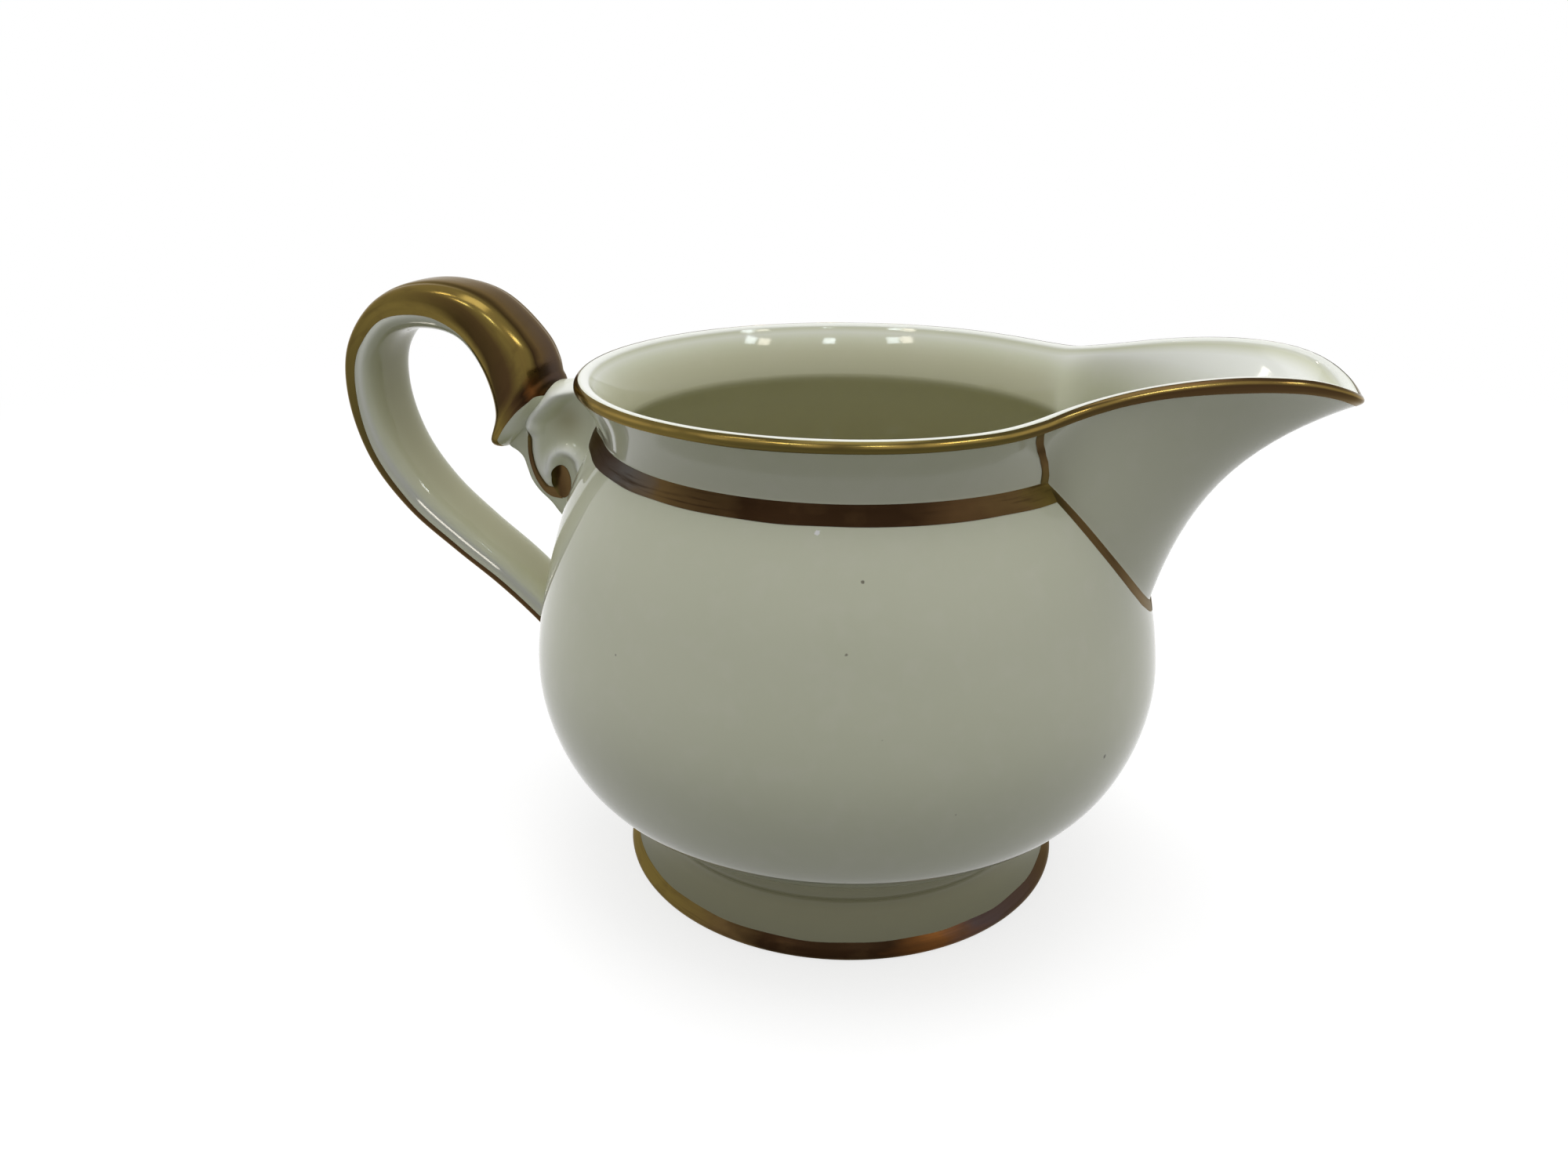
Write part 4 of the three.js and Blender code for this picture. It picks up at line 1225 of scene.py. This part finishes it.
# %% [markdown]
# ## Shader sums
#
# A material is a drawing of nodes, and a long sum is hard to read there. A small class wraps one output of a
# node, so that sums can be written as in Python, and its method "node" adds a node of any other kind.


# %% Wires between shader nodes
def fill(tree, node, inputs):
    """Fills a node's inputs with numbers, colours or wires."""
    for key, value in inputs.items():
        if isinstance(value, Wire):
            tree.links.new(value.socket, node.inputs[key])
        else:
            node.inputs[key].default_value = value


class Wire:
    """One output of a node, which takes part in sums."""

    def __init__(self, tree, socket=None):
        self.tree = tree
        self.socket = socket

    def node(self, kind, settings=None, inputs=None, output=0):
        """Adds a node of a kind, sets it and fills its inputs."""
        node = self.tree.nodes.new(kind)
        for key, value in (settings or {}).items():
            if key == "stops":
                marks = node.color_ramp.elements
                while len(marks) < len(value):
                    marks.new(1.0)
                for mark, (share, tone) in zip(marks, value):
                    mark.position, mark.color = share, tone
            else:
                setattr(node, key, value)
        fill(self.tree, node, inputs or {})
        return Wire(self.tree, node.outputs[output])

    def maths(self, operation, *values, clamp=False):
        """Adds a Math node on numbers or wires."""
        settings = {"operation": operation, "use_clamp": clamp}
        return self.node("ShaderNodeMath", settings, dict(enumerate(values)))

    def __add__(self, other):
        return self.maths("ADD", self, other)

    __radd__ = __add__

    def __sub__(self, other):
        return self.maths("SUBTRACT", self, other)

    def __rsub__(self, other):
        return self.maths("SUBTRACT", other, self)

    def __mul__(self, other):
        return self.maths("MULTIPLY", self, other)

    __rmul__ = __mul__

    def clamped(self):
        """Held between 0 and 1."""
        return self.maths("ADD", self, 0.0, clamp=True)

    def between(self, low, high):
        """0 below low, 1 above high, and smooth in between."""
        return self.node("ShaderNodeMapRange", {"interpolation_type": "SMOOTHSTEP"},
                         {0: self, 1: low, 2: high, 3: 0.0, 4: 1.0})

    def blend(self, first, second):
        """The first colour where this is 0, the second where it is 1."""
        return self.node("ShaderNodeMix", {"data_type": "RGBA"}, {0: self, 6: first, 7: second}, output=2)

    def noise(self, scale, detail):
        """A noise pattern on this place."""
        return self.node("ShaderNodeTexNoise", None, {"Vector": self, "Scale": scale, "Detail": detail})


# %% Principled materials
def new_material(name):
    """An empty material with its principled shader joined to the output."""
    material = bpy.data.materials.new(name)
    material.use_nodes = True
    tree = material.node_tree
    tree.nodes.clear()
    output = tree.nodes.new("ShaderNodeOutputMaterial")
    shader = tree.nodes.new("ShaderNodeBsdfPrincipled")
    tree.links.new(shader.outputs["BSDF"], output.inputs["Surface"])
    return material, tree, shader


# %% [markdown]
# ## The glaze
#
# Ivory porcelain is not one colour. The glaze is a shade greener where it lies thick, nearly white where it has
# run off an edge, and olive where it has gathered in a hollow or under the foot: the number that every ring of a
# skin carries says which. The same number paints light and shade too: shade on the foot and the bowl's base, on
# the strap's inner face, in the scroll's hollow and deep inside the bowl, and light under the lip inside, inside
# the spout and on the scroll's raised forms, with a painted reflection along the strap's edges. It is never
# quite flat either, which softens the reflections of a room. There are a few tiny dark specks of iron from the
# kiln, and a white nick under the band. The standing edge of the foot was wiped clean before firing, so it is
# bare and dull. The specks could be small pieces, but they lie in the glaze, so they are masks on Object
# coordinates, which stay with the piece.

# %% Colours and specks of the glaze
ivory = (0.69, 0.705, 0.54, 1)
ivory_thick = (0.66, 0.68, 0.51, 1)
# Paler ivory for a lean glaze, for painted light and for a painted reflection.
ivory_thin_and_lit = (0.89, 0.905, 0.85, 1)
# Olive ivory for a deep glaze and for painted shade.
ivory_pool_and_shade = (0.49, 0.47, 0.29, 1)
# Darker still: painted shade on the foot's flared edge.
ivory_painted_shade = (0.25, 0.245, 0.155, 1)
bare_paste = (0.80, 0.77, 0.68, 1)
speck_brown = (0.10, 0.075, 0.045, 1)
nick_white = (0.95, 0.95, 0.93, 1)

# Place, radius and strength of each speck, in millimetres from the jug's axis at the table.
specks = [
    ((39.5, -21.5, 31.5), 0.42, 0.85),
    ((39.9, -21.1, 32.6), 0.25, 0.6),
    ((11.3, -37.0, 57.9), 0.30, 0.75),
    ((10.4, -40.2, 50.2), 0.24, 0.65),
    ((-19.0, -38.4, 45.2), 0.2, 0.55),
    ((23.6, -38.2, 30.3), 0.22, 0.5),
    ((15.1, -41.4, 40.6), 0.2, 0.5),
]
nick_place = (5.6, -35.6, 62.7)
nick_inner, nick_outer, nick_raggedness = 0.15 * mm, 0.4 * mm, 0.5 * mm
speck_core, speck_raggedness = 0.35, 0.9
bare_height, glazed_height = 0.12 * mm, 0.4 * mm
print("specks:", len(specks))


# %% Glaze
# How many marks of each noise there are in a metre.
broad_grain, fine_grain, swell_grain, speck_grain = 26.0, 320.0, 55.0, 2600.0


def glaze(name, with_specks=False):
    """The glazed porcelain, for a skin whose attribute gives how thinly the glaze lies and the painted light and
    shade on it.
    """
    material, tree, shader = new_material(name)
    start = Wire(tree)
    place = start.node("ShaderNodeTexCoord", output="Object")
    broad, fine, swell = place.noise(broad_grain, 3.0), place.noise(fine_grain, 2.0), place.noise(swell_grain, 1.0)
    colour = broad.between(0.35, 0.7).blend(ivory, ivory_thick)
    colour = ((fine - 0.5) * 0.5).clamped().blend(colour, bare_paste)
    thin = start.node("ShaderNodeAttribute", {"attribute_name": "thin"}, output=2)
    # A lean glaze and painted light pale the colour, a deep glaze and painted shade darken it, and below -1 it is
    # painted shade alone.
    for mask, tone in ((thin, ivory_thin_and_lit), (thin * -1, ivory_pool_and_shade), (thin * -1 - 1, ivory_painted_shade)):
        colour = mask.clamped().blend(colour, tone)
    if with_specks:
        warp = place.noise(speck_grain, 1.0)

        def in_spot(middle, inner, outer, raggedness):
            """1 in a small round spot with a ragged edge, 0 outside it."""
            spot = (axis_x + middle[0] * mm, middle[1] * mm, middle[2] * mm)
            distance = start.node("ShaderNodeVectorMath", {"operation": "DISTANCE"}, {0: place, 1: spot}, output=1)
            return 1 - (distance + (warp - 0.5) * raggedness).between(inner, outer)

        for middle, radius, strength in specks:
            near = in_spot(middle, speck_core * radius * mm, radius * mm, speck_raggedness * radius * mm)
            colour = (near * strength).blend(colour, speck_brown)
        colour = in_spot(nick_place, nick_inner, nick_outer, nick_raggedness).blend(colour, nick_white)
    height = start.node("ShaderNodeSeparateXYZ", None, {0: place}, output=2)
    bare = 1 - height.between(bare_height, glazed_height)
    colour = bare.blend(colour, bare_paste)
    gloss = (broad * 0.05 + 0.035) + bare * 0.5
    bump = start.node("ShaderNodeBump", None, {"Height": swell, "Strength": 0.35, "Distance": 0.06 * mm})
    fill(tree, shader, {
        "Base Color": colour, "Roughness": gloss, "Normal": bump, "IOR": 1.5, "Specular IOR Level": 0.24})
    return material


body_glaze = glaze("ivory_glaze_body", with_specks=True)
handle_glaze = glaze("ivory_glaze_handle")
print("glazes:", body_glaze.name, handle_glaze.name)

# %% [markdown]
# ## The gilding
#
# Old gilding is a fine film, worn and tarnished. It is a metal, so its colour is the colour of what it mirrors,
# tinted by the gold. Its tones run along each line, from olive gold through bronze and brown to plum, with fine
# brush streaks, and on the band and the foot they are darkest, and on the rim dim, on the camera's side: tarnish
# and a painted dark reflection. The rim has a painted highlight along its crest. The gold on the strap's top has
# tones of its own across its width, a painted highlight on its crest and painted dark reflections on its near
# flank and over its groove, and others where it ends on the nose. All this could be one noise, but then a dark
# stretch would fall anywhere. So ramps of tones are laid along and across each strip's own map, which the grid
# brought with it, and noises only break up their borders.

# %% Colours of the gold
# The brightest gold is the rim's painted crest highlight.
painted_highlight_gold = (0.30, 0.205, 0.055, 1)
warm_gold = (0.155, 0.108, 0.028, 1)
olive_gold = (0.145, 0.104, 0.027, 1)
dim_gold = (0.068, 0.052, 0.015, 1)
bronze = (0.10, 0.062, 0.024, 1)
brown = (0.052, 0.029, 0.012, 1)
plum = (0.062, 0.042, 0.038, 1)
dark_brown = (0.020, 0.010, 0.0045, 1)
rust = (0.115, 0.045, 0.012, 1)
blue_grey = (0.082, 0.076, 0.074, 1)
gold_tint = (0.8, 0.72, 0.6, 1)
# Marks in a metre along and across a strip, and the detail, of its brush streaks, clouds and patches.
streak_grain, cloud_grain, patch_grain = (110, 3200, 3.0), (120, 330, 3.0), (300, 520, 4.0)
border_play = 12 * mm
print("brightest gold", painted_highlight_gold[:3], "darkest", dark_brown[:3])


# %% Gilding
def gilding(name, length, width, tones, seed, streak_depth, cloud_depth, gloss=0.11, edge_tone=None,
            end_tones=None, crest_highlight=None, painted_light_tones=None):
    """Gold for one strip, length by width metres: tones are (share along it, colour) in order.

    An edge tone colours its two long edges at first, end tones, from its middle to its edges, colour its start,
    a crest tone paints a highlight along the rim's crest, and side tones, a painted highlight and painted dark
    reflections, run across it near its start.
    """
    material, tree, shader = new_material(name)
    start = Wire(tree)
    flat_map = start.node("ShaderNodeTexCoord", output="UV")
    along, across = (start.node("ShaderNodeSeparateXYZ", None, {0: flat_map}, output=k) for k in range(2))

    def grain(along_scale, across_scale, detail):
        """Noise with so many marks in a metre, along and across."""
        scale = (length * along_scale, width * across_scale, 1.0)
        spread = start.node("ShaderNodeMapping", None, {
            "Vector": flat_map, "Location": (seed, seed * 1.7, seed), "Scale": scale})
        return spread.noise(1.0, detail)

    def ramp(place, stops):
        """Tones along a place on the map."""
        return start.node("ShaderNodeValToRGB", {"stops": stops}, {0: place})

    streaks, clouds, patches = grain(*streak_grain), grain(*cloud_grain), grain(*patch_grain)
    colour = ramp(along + (clouds - 0.5) * (border_play / length), tones)
    middle = across - 0.5
    off_middle = middle.maths("ABSOLUTE", middle) * 2
    if edge_tone:
        edge = (off_middle + (clouds - 0.5) * 0.25).between(0.6, 0.9) * (1 - along.between(0.22, 0.38))
        colour = edge.blend(colour, edge_tone)
    # Tones across the strip near its start: a painted highlight and painted dark reflections.
    if painted_light_tones:
        painted_light_across = ramp(across + (clouds - 0.5) * 0.05, painted_light_tones)
        colour = ((1 - (along + (patches - 0.5) * 0.04).between(0.26, 0.42)) * 0.85).blend(colour, painted_light_across)
    if end_tones:
        at_end = 1 - (along + (patches - 0.5) * 0.03).between(0.07, 0.13)
        colour = at_end.blend(colour, ramp(off_middle + (patches - 0.5) * 0.15, end_tones))
    colour = (patches.between(0.5, 0.72) * cloud_depth).blend(colour, brown)
    colour = (streaks.between(0.5, 0.8) * streak_depth).blend(colour, dark_brown)
    # A painted highlight along the rim's crest.
    if crest_highlight:
        crest_highlight_mask = across.between(0.54, 0.66) * (1 - across.between(0.7, 0.84)) * clouds.between(0.3, 0.6) * 0.85
        colour = crest_highlight_mask.blend(colour, crest_highlight)
    roughness = streaks * 0.08 + patches * 0.06 + gloss
    if end_tones:
        roughness = roughness + at_end * 0.16
    scratches = start.node("ShaderNodeBump", None, {"Height": streaks, "Strength": 0.2, "Distance": 0.010 * mm})
    fill(tree, shader, {
        "Base Color": colour, "Roughness": roughness, "Normal": scratches, "Metallic": 1.0,
        "Specular Tint": gold_tint})
    return material


# %% Tones of each gold line
def round_share(angle):
    """The share along a strip that runs all round from the handle, at an angle from the spout."""
    return (angle + 180) / 360


def band_share(angle):
    """The share along the shoulder band at an angle from the spout."""
    past_spout = (angle if angle >= 0 else angle + 360) - vee_half_angle
    return past_spout / (360 - 2 * vee_half_angle)


def at_angles(share_at, *tones):
    """Tones that are placed by the angle from the spout."""
    return [(share_at(angle), tone) for angle, tone in tones]


# Darkest on the camera's side, round -95 to -65 degrees, on the band and foot, and dim on the rim: tarnish and a
# painted dark reflection.
rim_tones = at_angles(
    round_share, (-180, brown), (-165, dim_gold), (-120, olive_gold), (-85, dim_gold), (-40, dim_gold),
    (-20, brown), (60, dim_gold), (120, olive_gold), (180, olive_gold))
foot_tones = at_angles(
    round_share, (-180, olive_gold), (-128, olive_gold), (-106, bronze), (-94, dark_brown), (-66, dark_brown),
    (-48, rust), (-38, plum), (0, brown), (60, olive_gold), (130, brown), (180, olive_gold))
band_tones = [(0.0, olive_gold), (0.15, bronze), (0.3, bronze)] + at_angles(
    band_share, (180, brown), (-155, brown), (-140, plum), (-130, blue_grey), (-117, bronze), (-97, dark_brown),
    (-66, dark_brown), (-50, brown), (-38, bronze)) + [(1.0, olive_gold)]
strap_tones = [
    (0.0, plum), (0.05, plum), (0.10, brown), (0.16, bronze), (0.23, olive_gold), (0.3, warm_gold),
    (0.38, olive_gold), (0.6, dim_gold), (0.72, brown), (1.0, brown),
]
strap_end_tones = [
    (0.0, plum), (0.2, brown), (0.34, rust), (0.46, dark_brown), (0.56, brown), (0.7, olive_gold),
    (1.0, olive_gold),
]
# Across the strap from its near edge: an olive edge, a dark flank that is a painted dark reflection, a painted
# highlight on the crest and a dark line over the groove, also a painted dark reflection.
strap_painted_light_tones = [
    (0.0, olive_gold), (0.05, olive_gold), (0.10, dark_brown), (0.19, brown), (0.26, olive_gold),
    (0.31, warm_gold), (0.36, olive_gold), (0.405, dark_brown), (0.45, bronze), (0.52, plum), (0.7, bronze),
    (1.0, olive_gold),
]
line_tones = [(0.0, dim_gold), (0.3, bronze), (0.6, brown), (0.85, bronze), (1.0, dim_gold)]
comma_tones = [(0.0, dim_gold), (0.4, brown), (1.0, bronze)]
print("tones along the band:", len(band_tones))

# %% Gold of each strip
circle = 2 * math.pi
narrow_strip, strap_strip = 3 * mm, 18 * mm
short_line, short_comma = 24 * mm, 12 * mm
rim_gold = gilding("gilding_rim", circle * rim_radius, narrow_strip, rim_tones, seed=3.1, streak_depth=0.2,
                   cloud_depth=0.25, crest_highlight=painted_highlight_gold)
band_gold = gilding("gilding_band", circle * crease_radius, band_width, band_tones, seed=5.7, streak_depth=0.8,
                    cloud_depth=0.2, gloss=0.36)
foot_gold = gilding("gilding_foot", circle * foot_radius, narrow_strip, foot_tones, seed=1.3, streak_depth=0.3,
                    cloud_depth=0.3, gloss=0.26)
strap_gold = gilding("gilding_strap", strap_outer.length, strap_strip, strap_tones, seed=8.9, streak_depth=0.1,
                     cloud_depth=0.25, gloss=0.12, edge_tone=olive_gold, end_tones=strap_end_tones,
                     painted_light_tones=strap_painted_light_tones)
line_gold = gilding("gilding_lines", short_line, vee_line_width, line_tones, seed=2.2, streak_depth=0.3,
                    cloud_depth=0.3, gloss=0.3)
comma_gold = gilding("gilding_commas", short_comma, comma_width, comma_tones, seed=4.4, streak_depth=0.2,
                     cloud_depth=0.3, gloss=0.25)
golds = (rim_gold, band_gold, foot_gold, strap_gold, line_gold, comma_gold)
print("golds:", [gold.name for gold in golds])

# %% Finish and place of every piece
finishes = [
    (jug_body, body_glaze, ["bowl", "neck_collar", "spout", "foot_ring"]),
    (strap, handle_glaze, ["handle_strap"]),
    (scroll, handle_glaze, ["handle_scroll"]),
    (gilt_rim, rim_gold, ["gilt_rim"]),
    (gilt_band, band_gold, ["gilt_neck_band"]),
    (gilt_foot, foot_gold, ["gilt_foot_band"]),
    (gilt_strap, strap_gold, ["gilt_handle_back"]),
]
for word in ("near", "far"):
    finishes.append((gilt_vees[word], line_gold, [f"gilt_vee_{word}"]))
    finishes.append((gilt_uprights[word], line_gold, [f"gilt_upright_{word}"]))
    finishes.append((gilt_commas[word], comma_gold, [f"gilt_scroll_{word}"]))

for piece, material, nodes in finishes:
    piece.data.materials.clear()
    piece.data.materials.append(material)
    "gilding" if material in golds else "porcelain"
    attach(piece, "root")
    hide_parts(*nodes)
print("pieces:", len(finishes))

# %% [markdown]
# ## The studio
#
# A white floor runs out to a white background, and one broad soft light hangs overhead. Six small ceiling lamps
# make the sparks that a glossy glaze shows, and a narrow one low beside the handle draws a long glint on it. The
# floor is white paper that fades into the background far from the jug, so no horizon shows. It could simply be
# white, but then it would light the jug's underside as brightly as its top. So it looks white and gives back
# less light than that, and next to none beside the foot, and the room is dim at the level of the table.

# %% Floor
floor_radius = 4.0
fade_start, fade_end = 0.13, 0.42
paper_bounce = 0.40
paper_grain = 0.03
unseen_bounce = (0.24, 0.24, 0.24, 1)
foot_shadow = (0.14, 0.14, 0.12, 1)
shadow_start, shadow_end = 0.02, 0.08
paper_glow = 0.72
floor_drop = 0.02 * mm
black, white = (0, 0, 0, 1), (1, 1, 1, 1)


def seen_rays(tree):
    """1 for the rays that look at a thing, straight, in a mirror or through glass; 0 for those that light it."""
    paths = tree.nodes.new("ShaderNodeLightPath")
    camera_ray, glossy_ray, clear_ray = (
        Wire(tree, paths.outputs[name]) for name in ("Is Camera Ray", "Is Glossy Ray", "Is Transmission Ray"))
    return camera_ray.maths("MAXIMUM", camera_ray.maths("MAXIMUM", camera_ray, glossy_ray), clear_ray)


bpy.ops.object.select_all(action="DESELECT")
bpy.ops.mesh.primitive_circle_add(
    vertices=96, radius=floor_radius, fill_type="NGON", location=(0, 0, -floor_drop))
floor = settle(named("studio_floor"))
floor_material, floor_tree, floor_shader = new_material("white_paper")
floor_start = Wire(floor_tree)
floor_place = floor_start.node("ShaderNodeTexCoord", output="Object")
far_off = floor_start.node("ShaderNodeVectorMath", {"operation": "LENGTH"}, {0: floor_place}, output=1)
darker, lighter = ((paper_bounce * (1 + change),) * 3 + (1,) for change in (-paper_grain, paper_grain))
paper = floor_place.noise(900.0, 2.0).blend(darker, lighter)
floor_seen = seen_rays(floor_tree)
returned = far_off.between(shadow_start, shadow_end).blend(foot_shadow, unseen_bounce)
fill(floor_tree, floor_shader, {
    "Base Color": floor_seen.blend(returned, paper), "Roughness": 0.8, "Specular IOR Level": 0.0,
    "Emission Strength": 1.0, "Emission Color": (floor_seen * paper_glow).clamped().blend(black, white)})
background = floor_start.node("ShaderNodeEmission", None, {"Color": white, "Strength": 1.0})
faded = far_off.between(fade_start, fade_end) * floor_seen
mixed = floor_start.node("ShaderNodeMixShader", None, {
    0: faded, 1: Wire(floor_tree, floor_shader.outputs[0]), 2: background})
floor_output = next(node for node in floor_tree.nodes if node.type == "OUTPUT_MATERIAL")
fill(floor_tree, floor_output, {"Surface": mixed})
floor.data.materials.append(floor_material)
floor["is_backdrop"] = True
print("floor:", round(floor.dimensions.x, 2), "m wide")

# %% World
# The room's light on the jug: bright above, dim at the level of the table, and dimmer on the camera's side.
level_light = 0.08
above_light = 1.18
front_shade = 0.3
shade_start, shade_end = -0.3, 0.9

world = bpy.data.worlds.new("white_studio")
bpy.context.scene.world = world
world.use_nodes = True
world_tree = world.node_tree
world_tree.nodes.clear()
world_start = Wire(world_tree)
towards = world_start.node("ShaderNodeTexCoord", output="Generated")
upward = world_start.node("ShaderNodeSeparateXYZ", None, {0: towards}, output=2).between(0.0, 1.0)
front = Vector((camera.location.x, camera.location.y, 0)).normalized()
facing = world_start.node("ShaderNodeVectorMath", {"operation": "DOT_PRODUCT"}, {0: towards, 1: front}, output=1)
room = (upward * above_light + level_light) * (1 - facing.between(shade_start, shade_end) * front_shade)
seen = seen_rays(world_tree)
sky = world_start.node("ShaderNodeBackground", None, {"Color": white, "Strength": seen + (1 - seen) * room})
fill(world_tree, world_tree.nodes.new("ShaderNodeOutputWorld"), {"Surface": sky})
print("world:", world.name, "dims to", level_light, "at the table")


# %% Lamps
jug_middle = 0.06


def lamp(name, place, power, size, colour=(1, 1, 1), target=(0, 0, jug_middle)):
    """A flat lamp that faces the jug and isn't seen itself."""
    light = bpy.data.lights.new(name, "AREA")
    light.energy = power
    light.color = colour
    light.shape = "RECTANGLE"
    light.size, light.size_y = size
    holder = bpy.data.objects.new(name, light)
    holder.location = place
    holder.rotation_euler = (Vector(target) - Vector(place)).to_track_quat("-Z", "Y").to_euler()
    holder.visible_camera = False
    bpy.context.scene.collection.objects.link(holder)
    return holder


def from_jug(turn, height, distance):
    """A place seen from the jug at a turn round it and a height in degrees."""
    turn, height = math.radians(turn), math.radians(height)
    reach = distance * math.cos(height)
    return (reach * math.cos(turn), reach * math.sin(turn), jug_middle + distance * math.sin(height))


overhead_place, overhead_power, overhead_size = (0.02, 0.0, 0.95), 1.7, (0.5, 0.4)
overhead = lamp("overhead", overhead_place, overhead_power, overhead_size)
cool, warm = (0.85, 0.95, 1.0), (1.0, 0.93, 0.8)
spark, tube = (0.11, 0.11), (0.05, 0.26)
ceiling_distance = 1.4
# Turn round the jug, height, power, size and colour of each small lamp at the ceiling.
ceiling = [
    (-11, 50, 0.9, spark, cool), (-20, 50, 0.8, spark, warm), (-62, 54, 1.0, spark, cool),
    (-105, 55, 0.9, spark, cool), (-114, 55, 0.8, spark, warm), (-153, 64, 1.2, tube, warm),
]
ceiling_lamps = [
    lamp(f"ceiling_{k}", from_jug(turn, height, ceiling_distance), power, size, colour)
    for k, (turn, height, power, size, colour) in enumerate(ceiling)
]
# A narrow lamp low beside the handle draws the long glint on its lower half, and lights nothing else.
glint_place, glint_target = (-0.094, -0.001, 0.0105), (-0.052, -0.005, 0.044)
glint_power, glint_size, glint_spread = 0.009, (0.07, 0.024), 50
glint = lamp("handle_glint", glint_place, glint_power, glint_size, warm, target=glint_target)
glint.data.spread = math.radians(glint_spread)
glinting = bpy.data.collections.new("glinting")
glinting.objects.link(strap)
glint.light_linking.receiver_collection = glinting
# These lamps only show as sparks in the glaze and the gold: their light is in the room's already.
for holder in ceiling_lamps + [glint]:
    holder.visible_diffuse = False
print("lamps:", overhead.name, [holder.name for holder in ceiling_lamps + [glint]])

# %% [markdown]
# ## Finish
#
# The view shows colours as they are written, and the visual jug's box is printed, to set beside the frame's box
# printed at the start.

# %% Finish
bpy.context.scene.view_settings.view_transform = "Standard"
visual_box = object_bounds()
print("visual box", *map(rounded, visual_box))
